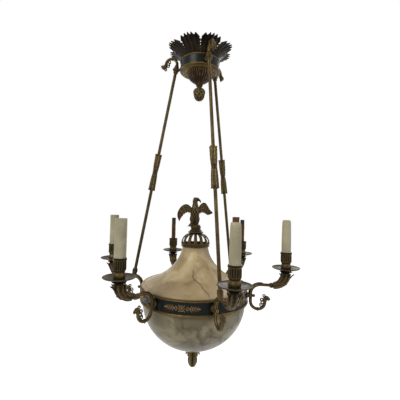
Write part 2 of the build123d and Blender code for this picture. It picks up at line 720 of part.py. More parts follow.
# Horn: a bent trumpet on the arm's tenon, a crown of leaf tips and a ringed neck under the pan
with BuildPart() as horn:
    for share in (0, 1 / 3, 2 / 3, 1):
        turn = Vector(0, -HORN_BEND_R).rotate(Axis.Z, 90 * share)
        middle = (horn_joint + turn.X, 0, horn_bend_top + turn.Y)
        heading = Vector(1, 0).rotate(Axis.Z, 90 * share)
        with BuildSketch(Plane(origin=middle, x_dir=(0, 1, 0), z_dir=(heading.X, 0, heading.Y))):
            Circle(HORN_ROOT_R + (HORN_TOP_R - HORN_ROOT_R) * share)
    loft()
    with Locations((horn_joint, 0, arm_level)):
        Cylinder(
            STRAND_R + SLIP_FIT,
            HORN_TENON_L,
            rotation=(0, 90, 0),
            align=(Align.CENTER, Align.CENTER, Align.MIN),
            mode=Mode.SUBTRACT,
        )
    with BuildSketch(Plane.XZ):
        with BuildLine():
            ring_level = (pan_seat + horn_bend_top) / 2
            Polyline(
                (ARM_REACH, horn_bend_top - HORN_NECK_H),
                (ARM_REACH + HORN_TOP_R, horn_bend_top - HORN_NECK_H),
                (ARM_REACH + HORN_TOP_R, ring_level - HORN_RING_H / 2),
                (ARM_REACH + HORN_TOP_R + HORN_RING_W, ring_level),
                (ARM_REACH + HORN_TOP_R, ring_level + HORN_RING_H / 2),
                (ARM_REACH + HORN_TOP_R, pan_seat),
                (ARM_REACH, pan_seat),
                close=True,
            )
        make_face()
    revolve(axis=candle_axis)
    with BuildSketch(Plane.XZ):
        with BuildLine():
            leaf_top = horn_bend_top - HORN_RING_H
            Polyline(
                (ARM_REACH + HORN_TOP_R - HORN_LEAF_T, leaf_top - HORN_LEAF_H),
                (ARM_REACH + HORN_TIP_R, leaf_top),
                (ARM_REACH + HORN_TIP_R - HORN_LEAF_T, leaf_top + HORN_LEAF_T),
                (ARM_REACH + HORN_TOP_R - HORN_LEAF_T, leaf_top - HORN_LEAF_H + 2 * HORN_LEAF_T),
                close=True,
            )
        make_face()
    revolve(axis=candle_axis)
    with Locations((ARM_REACH, 0, leaf_top)):
        with PolarLocations(HORN_TIP_R, HORN_LEAVES):
            Cylinder(HORN_NOTCH_R, HORN_RING_W * 2, rotation=(0, 90, 0), mode=Mode.SUBTRACT)
    with BuildSketch(Plane.XY.offset(pan_seat - TUBE_IN_HORN - SIDE_GAP)):
        with Locations((ARM_REACH, 0)):
            Circle(tube_hole_r)
    extrude(amount=TUBE_IN_HORN + SIDE_GAP, mode=Mode.SUBTRACT)

# Drip pan: a shallow dish with an upturned rim
with BuildPart() as drip_pan:
    with BuildSketch(Plane.XZ):
        with BuildLine():
            Polyline(
                (ARM_REACH + tube_hole_r, pan_seat),
                (ARM_REACH + PAN_FLAT_R, pan_seat),
                (ARM_REACH + PAN_R, pan_rim - PAN_T),
                (ARM_REACH + PAN_R, pan_rim),
                (ARM_REACH + PAN_R - PAN_T, pan_rim),
                (ARM_REACH + PAN_FLAT_R, pan_floor),
                (ARM_REACH + tube_hole_r, pan_floor),
                close=True,
            )
        make_face()
    revolve(axis=candle_axis)

# Candle cup: rounded foot, waist, fluted body and a rim with a ledge for the sleeve
cup_rim = pan_rim + CUP_H
cup_waist = pan_rim + CUP_WAIST_Z
cup_ledge = cup_rim - CUP_SEAT
with BuildPart() as candle_cup:
    with BuildSketch(Plane.XZ):
        with BuildLine():
            foot_middle = (pan_floor + cup_waist) / 2
            foot = (ARM_REACH + CUP_WAIST_R, pan_floor)
            waist = (ARM_REACH + CUP_WAIST_R, cup_waist)
            shoulder = (ARM_REACH + CUP_BODY_R, cup_rim - CUP_RIM_H)
            ThreePointArc(foot, (ARM_REACH + CUP_FOOT_R, foot_middle), waist)
            TangentArc(waist, shoulder, tangent=(1, 1))
            Polyline(
                shoulder,
                (ARM_REACH + cup_rim_r, cup_rim - CUP_RIM_H),
                (ARM_REACH + cup_rim_r, cup_rim),
                (ARM_REACH + SLEEVE_R + SLIP_FIT, cup_rim),
                (ARM_REACH + SLEEVE_R + SLIP_FIT, cup_ledge),
                (ARM_REACH + SLEEVE_R - CUP_LEDGE_W, cup_ledge),
                (ARM_REACH + SLEEVE_R - CUP_LEDGE_W, cup_waist + CUP_FLOOR),
                (ARM_REACH + tube_hole_r, cup_waist + CUP_FLOOR),
                (ARM_REACH + tube_hole_r, pan_floor),
                foot,
            )
        make_face()
    revolve(axis=candle_axis)
    flute_foot = cup_waist + CUP_FLOOR + FLUTE_R
    flute_length = cup_rim - CUP_RIM_H - FLUTE_R - flute_foot
    with Locations((ARM_REACH, 0, flute_foot)):
        with PolarLocations(CUP_BODY_R + FLUTE_R / 2, CUP_FLUTES):
            Cylinder(
                FLUTE_R,
                flute_length,
                align=(Align.CENTER, Align.CENTER, Align.MIN),
                mode=Mode.SUBTRACT,
            )

# Plain candle tube, and the taller one at the front right
with BuildPart() as candle_tube:
    with BuildSketch(Plane.XY.offset(pan_seat - TUBE_IN_HORN)):
        with Locations((ARM_REACH, 0)):
            Circle(TUBE_R)
            Circle(TUBE_R - TUBE_WALL, mode=Mode.SUBTRACT)
    extrude(amount=pan_rim + TUBE_TOP - pan_seat + TUBE_IN_HORN)
with BuildPart() as tall_tube:
    add(candle_tube.part)
    with BuildSketch(Plane.XY.offset(pan_rim + TUBE_TOP)):
        with Locations((ARM_REACH, 0)):
            Circle(TUBE_R)
            Circle(TUBE_R - TUBE_WALL, mode=Mode.SUBTRACT)
    extrude(amount=FRONT_TUBE_RISE)
with BuildPart() as candle_tubes:
    for number, angle in enumerate(arm_angles, start=1):
        add(tall_tube.part if number == 1 else candle_tube.part, rotation=(0, 0, angle))
export(candle_tubes.part, "candle_tubes")

# Straight candle sleeve, an open tube that stands on the cup's ledge
with BuildPart() as straight_sleeve:
    with BuildSketch(Plane.XY.offset(cup_ledge)):
        with Locations((ARM_REACH, 0)):
            Circle(SLEEVE_R)
            Circle(SLEEVE_R - SLEEVE_T, mode=Mode.SUBTRACT)
    extrude(amount=pan_rim + SLEEVE_TOP - cup_ledge)

# Tapered candle sleeve with a foot in the cup and a rounded top that the tube can pass
with BuildPart() as tapered_sleeve:
    with BuildSketch(Plane.XZ) as taper_section:
        with BuildLine():
            sleeve_top = pan_rim + SLEEVE_TOP
            top_hole_r = TUBE_R + TAPER_HOLE_GAP
            Polyline(
                (ARM_REACH + TAPER_FOOT_R - SLEEVE_T, cup_ledge),
                (ARM_REACH + SLEEVE_R, cup_ledge),
                (ARM_REACH + SLEEVE_R, cup_rim),
                (ARM_REACH + TAPER_FOOT_R, cup_rim),
                (ARM_REACH + TAPER_TOP_R, sleeve_top - TAPER_ROUND),
            )
            TangentArc(
                (ARM_REACH + TAPER_TOP_R, sleeve_top - TAPER_ROUND),
                (ARM_REACH + top_hole_r, sleeve_top),
                tangent=(0, 1),
            )
            Polyline(
                (ARM_REACH + top_hole_r, sleeve_top),
                (ARM_REACH + top_hole_r, sleeve_top - TAPER_ROUND),
                (ARM_REACH + TAPER_FOOT_R - SLEEVE_T, cup_ledge),
            )
        make_face()
    revolve(axis=candle_axis)

for number, angle in enumerate(arm_angles, start=1):
    export_turned(rod_arm.part if angle in rod_angles else arm.part, f"arm_{number}", angle)
    export_turned(horn.part, f"horn_{number}", angle)
    export_turned(drip_pan.part, f"drip_pan_{number}", angle)
    export_turned(candle_cup.part, f"candle_cup_{number}", angle)
    if number in SLEEVED_ARMS:
        sleeve = tapered_sleeve if number < ROD_COUNT else straight_sleeve
        export_turned(sleeve.part, f"candle_sleeve_{number}", angle)

# Bowl band, a painted hoop that the arms are bolted to
with BuildPart() as bowl_band:
    with BuildSketch(Plane.XY.offset(band_bottom)):
        Circle(BAND_R)
        Circle(BAND_R - BAND_WALL, mode=Mode.SUBTRACT)
    extrude(amount=BAND_H)
    with turned_to(arm_angles, bolt_level):
        Cylinder(
            BOLT_R + SLIP_FIT,
            2 * BAND_R,
            rotation=(0, 90, 0),
            align=(Align.CENTER, Align.CENTER, Align.MIN),
            mode=Mode.SUBTRACT,
        )
export(bowl_band.part, "bowl_band")

# Thin upper rim, the lid's seat
with BuildPart() as band_top_rim:
    with BuildSketch(Plane.XZ) as top_rim_section:
        with Locations((BAND_R + TOP_RIM_OUT, band_top)):
            Rectangle(TOP_RIM_IN + TOP_RIM_OUT, TOP_RIM_H, align=(Align.MAX, Align.MIN))
        fillet(top_rim_section.vertices().group_by(Axis.X)[-1], TOP_RIM_H / 3)
    revolve(axis=Axis.Z)
export(band_top_rim.part, "band_top_rim")

# Half-round lower rim with an inner shelf for the spider
with BuildPart() as band_bottom_rim:
    with BuildSketch(Plane.XZ):
        with BuildLine():
            Polyline(
                (BAND_R, band_bottom),
                (BAND_R - BOTTOM_RIM_IN, band_bottom),
                (BAND_R - BOTTOM_RIM_IN, bowl_top),
                (BAND_R, bowl_top),
            )
            ThreePointArc(
                (BAND_R, bowl_top),
                (BAND_R + BOTTOM_RIM_OUT, (band_bottom + bowl_top) / 2),
                (BAND_R, band_bottom),
            )
        make_face()
    revolve(axis=Axis.Z)
export(band_bottom_rim.part, "band_bottom_rim")

# Applied ornament: a rosette between two sprays of paired leaves, bent to the band
with BuildPart() as band_ornament:
    with BuildSketch(Plane.XY.offset(bolt_level)):
        Circle(BAND_R + ORNAMENT_T)
        Circle(BAND_R, mode=Mode.SUBTRACT)
    extrude(amount=BAND_H / 2, both=True)
    with BuildSketch(Plane.YZ):
        with Locations((0, bolt_level)):
            Circle(ORNAMENT_ROSE_R)
            Rectangle(ORNAMENT_L, ORNAMENT_BAR_H)
            leaf_step = (ORNAMENT_L / 2 - ORNAMENT_ROSE_R) / ORNAMENT_LEAVES
            for side in (-1, 1):
                for index in range(ORNAMENT_LEAVES):
                    for rise in (-1, 1):
                        leaf_x = side * (ORNAMENT_ROSE_R + leaf_step * (index + 0.5))
                        with Locations((leaf_x, rise * ORNAMENT_LEAF_L / 2)):
                            Ellipse(ORNAMENT_LEAF_L, ORNAMENT_LEAF_W / 2, rotation=side * rise * 45)
    extrude(amount=2 * BAND_R, mode=Mode.INTERSECT)
ornament_angles = [angle + 180 / ARM_COUNT for angle in arm_angles]
export_group(band_ornament.part, "band_ornaments", ornament_angles)


def bowl_level(reach, depth):
    """Height of a half ellipse of the bowl at the edge of its flat bottom."""
    return bowl_top - depth * sqrt(1 - (BOWL_FLAT_R / reach) ** 2)


def bowl_curve(reach, depth):
    """A quarter ellipse of the bowl, from the edge of its flat bottom up to its rim."""
    flat_angle = asin(BOWL_FLAT_R / reach)
    angles = [flat_angle + (pi / 2 - flat_angle) * step / BOWL_STEPS for step in range(BOWL_STEPS + 1)]
    points = [(reach * sin(angle), bowl_top - depth * cos(angle)) for angle in angles]
    return Spline(*points, tangents=((reach * cos(flat_angle), depth * sin(flat_angle)), (0, 1)))


# Alabaster bowl: a half ellipsoid shell with a flat, bored bottom
bowl_outer_flat = bowl_level(bowl_r, BOWL_DEPTH)
bowl_inner_flat = bowl_level(bowl_r - BOWL_WALL, BOWL_DEPTH - BOWL_WALL)
with BuildPart() as bowl:
    with BuildSketch(Plane.XZ):
        with BuildLine():
            bowl_curve(bowl_r, BOWL_DEPTH)
            Line((bowl_r, bowl_top), (bowl_r - BOWL_WALL, bowl_top))
            bowl_curve(bowl_r - BOWL_WALL, BOWL_DEPTH - BOWL_WALL)
            Polyline(
                (BOWL_FLAT_R, bowl_inner_flat),
                (BOWL_ROD_R + SLIP_FIT, bowl_inner_flat),
                (BOWL_ROD_R + SLIP_FIT, bowl_outer_flat),
                (BOWL_FLAT_R, bowl_outer_flat),
            )
        make_face()
    revolve(axis=Axis.Z)
export(bowl.part, "bowl")

# Spider: three flat bars and a hub across the ring, on the lower rim's shelf
with BuildPart() as bowl_spider:
    with BuildSketch(Plane.XY.offset(band_bottom)):
        Circle(SPIDER_HUB_R)
        with Locations(*[Location((0, 0, 0), (0, 0, 1), angle) for angle in rod_angles]):
            Rectangle(BAND_R, SPIDER_W, align=(Align.MIN, Align.CENTER))
    extrude(amount=SPIDER_T)
    with Locations((0, 0, band_bottom)):
        Cylinder(BAND_R - BAND_WALL - SIDE_GAP, 4 * SPIDER_T, mode=Mode.INTERSECT)
        Cylinder(BOWL_ROD_R + SLIP_FIT, 4 * SPIDER_T, mode=Mode.SUBTRACT)
export(bowl_spider.part, "bowl_spider")

# Rod through the bowl, from the spider's nut to the finial
finial_top = bowl_outer_flat - WASHER_T
bowl_rod_top = band_bottom + SPIDER_T + NUT_H + BOWL_ROD_R
bowl_rod_end = finial_top - ROD_IN_FINIAL
with BuildPart() as bowl_rod:
    with BuildSketch(Plane.XY.offset(bowl_rod_end)):
        Circle(BOWL_ROD_R)
    extrude(amount=bowl_rod_top - bowl_rod_end)
export(bowl_rod.part, "bowl_rod")

# Washers inside and outside the bowl's bottom
with BuildPart() as bowl_washers:
    for washer_foot in (bowl_inner_flat, finial_top):
        with BuildSketch(Plane.XY.offset(washer_foot)):
            Circle(WASHER_R)
            Circle(BOWL_ROD_R + SLIP_FIT, mode=Mode.SUBTRACT)
        extrude(amount=WASHER_T)
export(bowl_washers.part, "bowl_washers")

# Bud finial, screwed on the rod's end
finial_tip = finial_top - FINIAL_H
finial_neck = finial_top - FINIAL_DISC_H - FINIAL_R + FINIAL_NECK_R
with BuildPart() as bowl_finial:
    with BuildSketch(Plane.XZ):
        with BuildLine():
            Polyline(
                (0, finial_tip),
                (0, finial_top),
                (FINIAL_R, finial_top),
                (FINIAL_R, finial_top - FINIAL_DISC_H),
            )
            TangentArc((FINIAL_NECK_R, finial_neck), (FINIAL_R, finial_top - FINIAL_DISC_H), tangent=(0, 1))
            bud_wide = (finial_neck + finial_tip) / 2
            Spline(
                (FINIAL_NECK_R, finial_neck),
                (FINIAL_BUD_R, bud_wide),
                (0, finial_tip),
                tangents=((1, -1), (-1, -0.3)),
            )
        make_face()
    revolve(axis=Axis.Z)
    with BuildSketch(Plane.XY.offset(bowl_rod_end - SIDE_GAP)):
        Circle(BOWL_ROD_R + SLIP_FIT)
    extrude(amount=ROD_IN_FINIAL + SIDE_GAP, mode=Mode.SUBTRACT)
export(bowl_finial.part, "bowl_finial")

# Nuts of the stem, the lugs, the arms' bolts and the bowl's rod
with BuildPart() as hex_nuts:
    add_nut(Plane.XY.offset(base_plate_top), STEM_R)
    add_nut(Plane.XY.offset(band_bottom + SPIDER_T), BOWL_ROD_R)
    add_nut(Plane.XY.offset(bowl_inner_flat + WASHER_T), BOWL_ROD_R)
    for angle in rod_angles:
        toward_axis = Vector(-1, 0).rotate(Axis.Z, angle)
        add_nut(Plane(toward_axis * -lug_nut_seat + Vector(0, 0, lug_level), z_dir=toward_axis), LUG_STUD_R)
    for angle in arm_angles:
        toward_axis = Vector(-1, 0).rotate(Axis.Z, angle)
        add_nut(Plane(toward_axis * -arm_nut_seat + Vector(0, 0, bolt_level), z_dir=toward_axis), BOLT_R)
export(hex_nuts.part, "hex_nuts")


def lid_curve(shift, foot):
    """The lid's hollow slope from its neck to its foot, moved in from the outside by a wall."""
    return Bezier(
        (LID_NECK_R - shift, lid_top),
        (LID_NECK_R + LID_NECK_FLARE - shift, lid_top - LID_NECK_PULL - shift / 2),
        (BAND_R - LID_RIM_PULL - shift, foot + LID_RIM_RISE),
        (BAND_R - LID_LIP_W - shift, foot),
    )


# Alabaster lid: a hollow ogee with a rounded lip, open at the neck
with BuildPart() as lid:
    with BuildSketch(Plane.XZ) as lid_section:
        with BuildLine():
            lid_curve(0, lid_seat + LID_LIP_H)
            Polyline(
                (BAND_R - LID_LIP_W, lid_seat + LID_LIP_H),
                (BAND_R, lid_seat + LID_LIP_H),
                (BAND_R, lid_seat),
                (BAND_R - LID_LIP_W - LID_WALL, lid_seat),
            )
            lid_curve(LID_WALL, lid_seat)
            Line((LID_NECK_R - LID_WALL, lid_top), (LID_NECK_R, lid_top))
        make_face()
        fillet(lid_section.vertices().group_by(Axis.X)[-1], LID_LIP_H / 3)
    revolve(axis=Axis.Z)
export(lid.part, "lid")

# Gallery: a ring over the lid's neck, a pierced dome and a disc for the eagle
gallery_in = LID_NECK_R + LID_NECK_FLARE / 2
gallery_out = gallery_in + GALLERY_WALL
dome_foot = lid_top + GALLERY_RING_H
dome_top = dome_foot + GALLERY_DOME_H
disc_top = dome_top + GALLERY_DISC_H
with BuildPart() as gallery:
    with BuildSketch(Plane.XZ):
        with BuildLine():
            Polyline(
                (LID_NECK_R - LID_WALL, lid_top),
                (gallery_in, lid_top),
                (gallery_in, lid_top - GALLERY_SKIRT),
                (gallery_out, lid_top - GALLERY_SKIRT),
                (gallery_out, dome_foot),
            )
            TangentArc((gallery_out, dome_foot), (GALLERY_HUB_R, dome_top), tangent=(0, 1))
            Polyline(
                (GALLERY_HUB_R, dome_top),
                (GALLERY_DISC_R, dome_top),
                (GALLERY_DISC_R, disc_top),
                (EAGLE_STUD_R + SLIP_FIT, disc_top),
                (EAGLE_STUD_R + SLIP_FIT, dome_top - GALLERY_WALL),
                (GALLERY_HUB_R - GALLERY_WALL, dome_top - GALLERY_WALL),
            )
            TangentArc(
                (gallery_in, dome_foot),
                (GALLERY_HUB_R - GALLERY_WALL, dome_top - GALLERY_WALL),
                tangent=(0, 1),
            )
            Polyline(
                (gallery_in, dome_foot),
                (gallery_in, lid_top + GALLERY_FLOOR),
                (LID_NECK_R - LID_WALL, lid_top + GALLERY_FLOOR),
                (LID_NECK_R - LID_WALL, lid_top),
            )
        make_face()
    revolve(axis=Axis.Z)
    slot_angles = [360 / GALLERY_SLOTS * index for index in range(GALLERY_SLOTS)]
    for angle in slot_angles:
        outward = Vector(1, 0).rotate(Axis.Z, angle)
        with BuildSketch(Plane((0, 0, dome_foot), x_dir=(-outward.Y, outward.X, 0), z_dir=outward)):
            with Locations((0, GALLERY_SLOT_RISE + GALLERY_SLOT_H / 2)):
                SlotOverall(GALLERY_SLOT_H, GALLERY_SLOT_W, rotation=90)
        extrude(amount=2 * gallery_out, mode=Mode.SUBTRACT)
export(gallery.part, "gallery")

# Eagle on its plinth, with a stud down into the gallery
plinth_top = disc_top + PLINTH_H
eagle_top = plinth_top + EAGLE_H
shoulder = plinth_top + EAGLE_SHOULDER
body_middle = plinth_top + EAGLE_SHOULDER - EAGLE_BODY_H / 2
with BuildPart() as eagle:
    with BuildSketch(Plane.XZ):
        with BuildLine():
            Polyline(
                (0, dome_top),
                (EAGLE_STUD_R, dome_top),
                (EAGLE_STUD_R, disc_top),
                (PLINTH_FOOT_R, disc_top),
                (PLINTH_FOOT_R, disc_top + PLINTH_H / 3),
                (PLINTH_R, disc_top + PLINTH_H / 2),
                (PLINTH_R, plinth_top),
                (0, plinth_top),
                close=True,
            )
        make_face()
    revolve(axis=Axis.Z)
    with BuildSketch(Plane.XZ):
        with Locations((EAGLE_LEAN, body_middle)):
            Ellipse(EAGLE_BODY_R, EAGLE_BODY_H / 2)
            Rectangle(2 * EAGLE_BODY_R, EAGLE_BODY_H, align=(Align.MAX, Align.CENTER), mode=Mode.SUBTRACT)
    revolve(axis=Axis((EAGLE_LEAN, 0, 0), (0, 0, 1)))
    with Locations((0, 0, eagle_top - EAGLE_HEAD_R)):
        Sphere(EAGLE_HEAD_R)
        Cone(
            EAGLE_BEAK_R,
            EAGLE_BEAK_TIP_R,
            EAGLE_BEAK_L,
            rotation=(0, 90 + BEAK_DIP, 0),
            align=(Align.CENTER, Align.CENTER, Align.MIN),
        )
    with Locations((EAGLE_LEAN, 0, shoulder)):
        Cylinder(EAGLE_NECK_R, EAGLE_H - EAGLE_SHOULDER)
    for side in (-1, 1):
        wing_out = Vector(side, 0).rotate(Axis.Z, side * WING_SWEEP)
        wing_plane = Plane((EAGLE_LEAN, 0, shoulder), x_dir=wing_out, z_dir=(wing_out.Y, -wing_out.X, 0))
        with BuildSketch(wing_plane):
            with BuildLine():
                root_low = (0, -WING_DROP / 2)
                tip = (WING_TIP * WING_SPAN, -WING_DROP)
                bend = (WING_BEND * WING_SPAN, 0)
                Line(root_low, (0, 0))
                Line((0, 0), bend)
                TangentArc(bend, tip, tangent=(1, -0.3))
                Line(tip, root_low)
            make_face()
        extrude(amount=EAGLE_WING_T / 2, both=True)
    with BuildSketch(Plane.XZ):
        with Locations((EAGLE_LEAN, body_middle - EAGLE_BODY_H / 2)):
            Trapezoid(TAIL_W, TAIL_L, 75, align=(Align.CENTER, Align.CENTER))
    extrude(amount=-EAGLE_WING_T)
    with Locations((EAGLE_LEAN, 0, plinth_top)):
        for side in (-1, 1):
            with Locations((side * LEG_GAP, 0, 0)):
                Cylinder(LEG_R, body_middle - plinth_top, align=(Align.CENTER, Align.CENTER, Align.MIN))
export(eagle.part, "eagle")
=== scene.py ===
"""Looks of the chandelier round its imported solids. Shapes are in millimetres, +Z up, the front is -Y."""

import math

import bmesh
import bpy
import numpy as np
from mathutils import Matrix


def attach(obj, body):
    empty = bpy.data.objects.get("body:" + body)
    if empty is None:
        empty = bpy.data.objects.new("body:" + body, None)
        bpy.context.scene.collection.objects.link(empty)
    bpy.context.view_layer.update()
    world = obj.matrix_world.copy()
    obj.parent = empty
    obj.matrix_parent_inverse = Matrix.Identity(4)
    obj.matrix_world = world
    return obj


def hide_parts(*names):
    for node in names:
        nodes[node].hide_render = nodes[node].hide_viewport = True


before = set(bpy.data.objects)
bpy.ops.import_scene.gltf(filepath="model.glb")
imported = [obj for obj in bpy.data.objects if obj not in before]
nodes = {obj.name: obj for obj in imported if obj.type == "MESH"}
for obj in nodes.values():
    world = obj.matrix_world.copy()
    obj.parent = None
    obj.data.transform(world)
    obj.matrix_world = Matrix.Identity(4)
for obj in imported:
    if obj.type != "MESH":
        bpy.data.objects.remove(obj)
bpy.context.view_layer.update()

MM = 0.001
TURN = 2 * math.pi
SAME_PLACE = 1e-6  # metres within which two points are one

# Places of the part, from the hook hole
ARM_ANGLES = [-71.0 + 60.0 * index for index in range(6)]
ROD_ANGLES = ARM_ANGLES[::2]
LEAF_ANGLES = [45.0 * (index + 0.5) - 90.0 for index in range(8)]
ORNAMENT_ANGLES = [angle + 30.0 for angle in ARM_ANGLES]
CROWN_TOP = -62.0
CROWN_BOTTOM = -84.0
CROWN_R = 56.0
BASE_BOTTOM = -91.0
BELL_BOTTOM = -127.0
STEM_R = 5.1
LUG_LEVEL = -76.0
LUG_POINT = (71.0, 0.0, LUG_LEVEL)
ROD_LEAN = math.atan2(111.0, 607.0)
ROD_LENGTH = math.hypot(111.0, 607.0)
ROD_UP = (-math.sin(ROD_LEAN), 0.0, math.cos(ROD_LEAN))
ROD_OUT = (math.cos(ROD_LEAN), 0.0, math.sin(ROD_LEAN))
ROD_R = 4.5
CROOK_R = 17.3
CROOK_RISE = 14.0  # from the lug to the start of the crook's bend
ARM_REACH = 249.0
PAN_RIM = -632.0
PAN_SEAT = -639.0
HORN_TOP = -649.0
HORN_START = 215.0
HORN_BEND = 34.0
TUBE_HOLE_R = 7.4
ARM_LEVEL = -683.0
KNEE_X = 182.0
KNEE_R = 25.0
SCROLL_X = 176.5
SCROLL_LEVEL = -729.5
SCROLL_R = 19.5
BAND_R = 147.0
BAND_TOP = -700.0
BAND_BOTTOM = -728.0
BOLT_LEVEL = -714.0
LID_SEAT = -696.0
LID_TOP = -585.0
BOWL_TOP = -735.0
BOWL_R = 142.4
BOWL_DEPTH = 132.6
BOWL_WALL = 7.0
BOWL_FLAT_R = 18.0
BOWL_HOLE_R = 4.1
FINIAL_TOP = -868.5
PLINTH_TOP = -534.0
ACROSS = (0.0, 1.0, 0.0)
UP = (0.0, 0.0, 1.0)


# Lines


def curve(knots, count):
    """Smooth line through knots: cubic runs whose slope at each knot comes from its two neighbours."""
    knots = np.asarray(knots, float)
    last = len(knots) - 1
    slopes = np.gradient(knots, axis=0)
    spot = np.linspace(0, last, count)
    left = np.minimum(spot.astype(int), last - 1)
    t = (spot - left)[:, None]
    start = (2 * t**3 - 3 * t**2 + 1) * knots[left] + (t**3 - 2 * t**2 + t) * slopes[left]
    return start + (3 * t**2 - 2 * t**3) * knots[left + 1] + (t**3 - t**2) * slopes[left + 1]


def arc(middle_x, middle_z, radius, start, end, count):
    """Points of a circle from one angle to another, in degrees."""
    angle = np.radians(np.linspace(start, end, count))
    return np.column_stack([middle_x + radius * np.cos(angle), middle_z + radius * np.sin(angle)])


def bezier(a, b, c, d, count):
    """Points of a cubic with two ends and two pulls."""
    t = np.linspace(0, 1, count)[:, None]
    a, b, c, d = (np.array(point, float) for point in (a, b, c, d))
    return (1 - t) ** 3 * a + 3 * t * (1 - t) ** 2 * b + 3 * t**2 * (1 - t) * c + t**3 * d


def in_radial_plane(line):
    """Points (distance from the axis, height) as points in the plane of X and Z."""
    line = np.asarray(line, float)
    return np.column_stack([line[:, 0], np.zeros(len(line)), line[:, 1]])


# Patches: points, quads between them, and how far each point stands up from its surroundings


def grid_patch(points, relief=None, closed=(False, True)):
    """A patch on a grid: quads between neighbours, joined round along rows or columns where asked."""
    rows, columns = points.shape[:2]
    index = np.arange(rows * columns).reshape(rows, columns)
    if closed[0]:
        index = np.vstack([index, index[:1]])
    if closed[1]:
        index = np.hstack([index, index[:, :1]])
    corners = [index[:-1, :-1], index[:-1, 1:], index[1:, 1:], index[1:, :-1]]
    quads = np.stack(corners, axis=-1).reshape(-1, 4)
    raised = np.zeros((rows, columns)) if relief is None else np.broadcast_to(relief, (rows, columns))
    return points.reshape(-1, 3), quads, raised.ravel()


def shell_patch(front, back, relief, around=False):
    """A thin closed patch: two grids back to back, laced together along their borders."""
    rows, columns = front.shape[:2]
    points = np.concatenate([front, back[::-1]])
    raised = np.concatenate([relief, relief[::-1]])
    if around:
        return grid_patch(points, raised, closed=(True, True))
    body = grid_patch(points, raised, closed=(True, False))
    index = np.arange(2 * rows * columns).reshape(2 * rows, columns)
    near, far = index[:rows], index[rows:][::-1]
    laces = [
        np.stack([near[:-1, edge], near[1:, edge], far[1:, edge], far[:-1, edge]], axis=-1)
        for edge in (0, columns - 1)
    ]
    return body[0], np.concatenate([body[1], *laces]), body[2]


def unit_relief(lift):
    """Lift as a share of its greatest size."""
    return lift / max(np.abs(lift).max(), 1e-9)


def normals_of(grid):
    """Unit normal at each point of a grid, from the cross product of its two slopes."""
    normal = np.cross(np.gradient(grid, axis=0), np.gradient(grid, axis=1))
    return normal / np.maximum(np.linalg.norm(normal, axis=-1, keepdims=True), 1e-9)


def lathe(profile, steps=96, ripple=None, loop=True):
    """A turned patch: each point of radius and height goes round the axis, its radius lifted by the ripple at
    its turn and height."""
    profile = np.asarray(profile, float)
    turn = np.linspace(0, TURN, steps, endpoint=False)[None, :]
    radius, height = profile[:, :1], profile[:, 1:2]
    lift = np.zeros((len(profile), steps)) if ripple is None else ripple(turn, height) * np.ones((1, steps))
    wide = radius + lift * (radius > 0)
    points = np.stack([wide * np.cos(turn), wide * np.sin(turn), height + 0 * turn], axis=-1)
    return grid_patch(points, unit_relief(lift), closed=(loop, True))


def sweep(path, wide, side, thick=None, steps=20, ripple=None):
    """A closed tube along a flat path: an ellipse at each point, wide along the side axis, thick across it,
    its size changed by the share that ripple(share of the path, turn) gives; both ends draw in to a point."""
    path = np.asarray(path, float)
    side = np.asarray(side, float) / np.linalg.norm(side)
    heading = np.gradient(path, axis=0)
    heading /= np.linalg.norm(heading, axis=1, keepdims=True)
    across = np.cross(side, heading)
    wide = np.broadcast_to(wide, len(path))
    thick = wide if thick is None else np.broadcast_to(thick, len(path))
    turn = np.linspace(0, TURN, steps, endpoint=False)[None, :]
    share = np.linspace(0, 1, len(path))[:, None]
    lift = np.zeros((len(path), steps)) if ripple is None else ripple(share, turn)
    along_side = wide[:, None] * np.cos(turn) * (1 + lift)
    along_across = thick[:, None] * np.sin(turn) * (1 + lift)
    points = path[:, None] + side * along_side[..., None] + across[:, None] * along_across[..., None]
    ends = np.repeat(path[[0, -1], None], steps, axis=1)
    points = np.concatenate([ends[:1], points, ends[1:]])
    return grid_patch(points, unit_relief(np.pad(lift, ((1, 1), (0, 0)), mode="edge")))


def blade(path, wide, thick, side, ribs=0.0):
    """A leaf or feather: a flat tube along a path, with a raised midrib on both faces."""
    def midrib(share, turn):
        return ribs * np.exp(-((np.cos(turn) / 0.25) ** 2)) + 0 * share

    return sweep(path, wide, side, thick, steps=16, ripple=midrib if ribs else None)


def ball(middle, radius, steps=18):
    """A round ball: half a circle turned about the upright line through its middle."""
    half = arc(0, 0, radius, -90, 90, steps)
    half[[0, -1], 0] = 0
    points, quads, relief = lathe(half, 2 * steps, loop=False)
    return points + np.array(middle, float), quads, relief


def wire_ring(middle, radius, wire, x_axis, y_axis, steps=28):
    """A ring of round wire: a small circle carried round a large one in the plane of two axes."""
    section = arc(radius, 0, wire, 0, 360, 13)[:-1]
    z_axis = np.cross(x_axis, y_axis)
    return laid(lathe(section, steps), middle, x_axis, y_axis, z_axis)


def laid(patch, origin, x_axis, y_axis, z_axis):
    """A patch moved from its own axes to a place: the origin plus each coordinate times its axis."""
    points, quads, relief = patch
    return points @ np.array([x_axis, y_axis, z_axis], float) + np.array(origin, float), quads, relief


def turned(patch, angle):
    """A patch turned about the central axis, in degrees."""
    c, s = math.cos(math.radians(angle)), math.sin(math.radians(angle))
    return laid(patch, (0, 0, 0), (c, s, 0), (-s, c, 0), UP)


def all_turned(patches, angles):
    """Copies of patches turned to each angle about the central axis."""
    return [turned(patch, angle) for angle in angles for patch in patches]


def on_rod(patch):
    """A patch made round an upright axis, moved to the rod's axis with its zero at the lug."""
    return laid(patch, LUG_POINT, ROD_OUT, ACROSS, ROD_UP)


def on_candle(patch):
    """A patch made round the central axis, moved out to a candle's axis."""
    return laid(patch, (ARM_REACH, 0, 0), (1, 0, 0), ACROSS, UP)


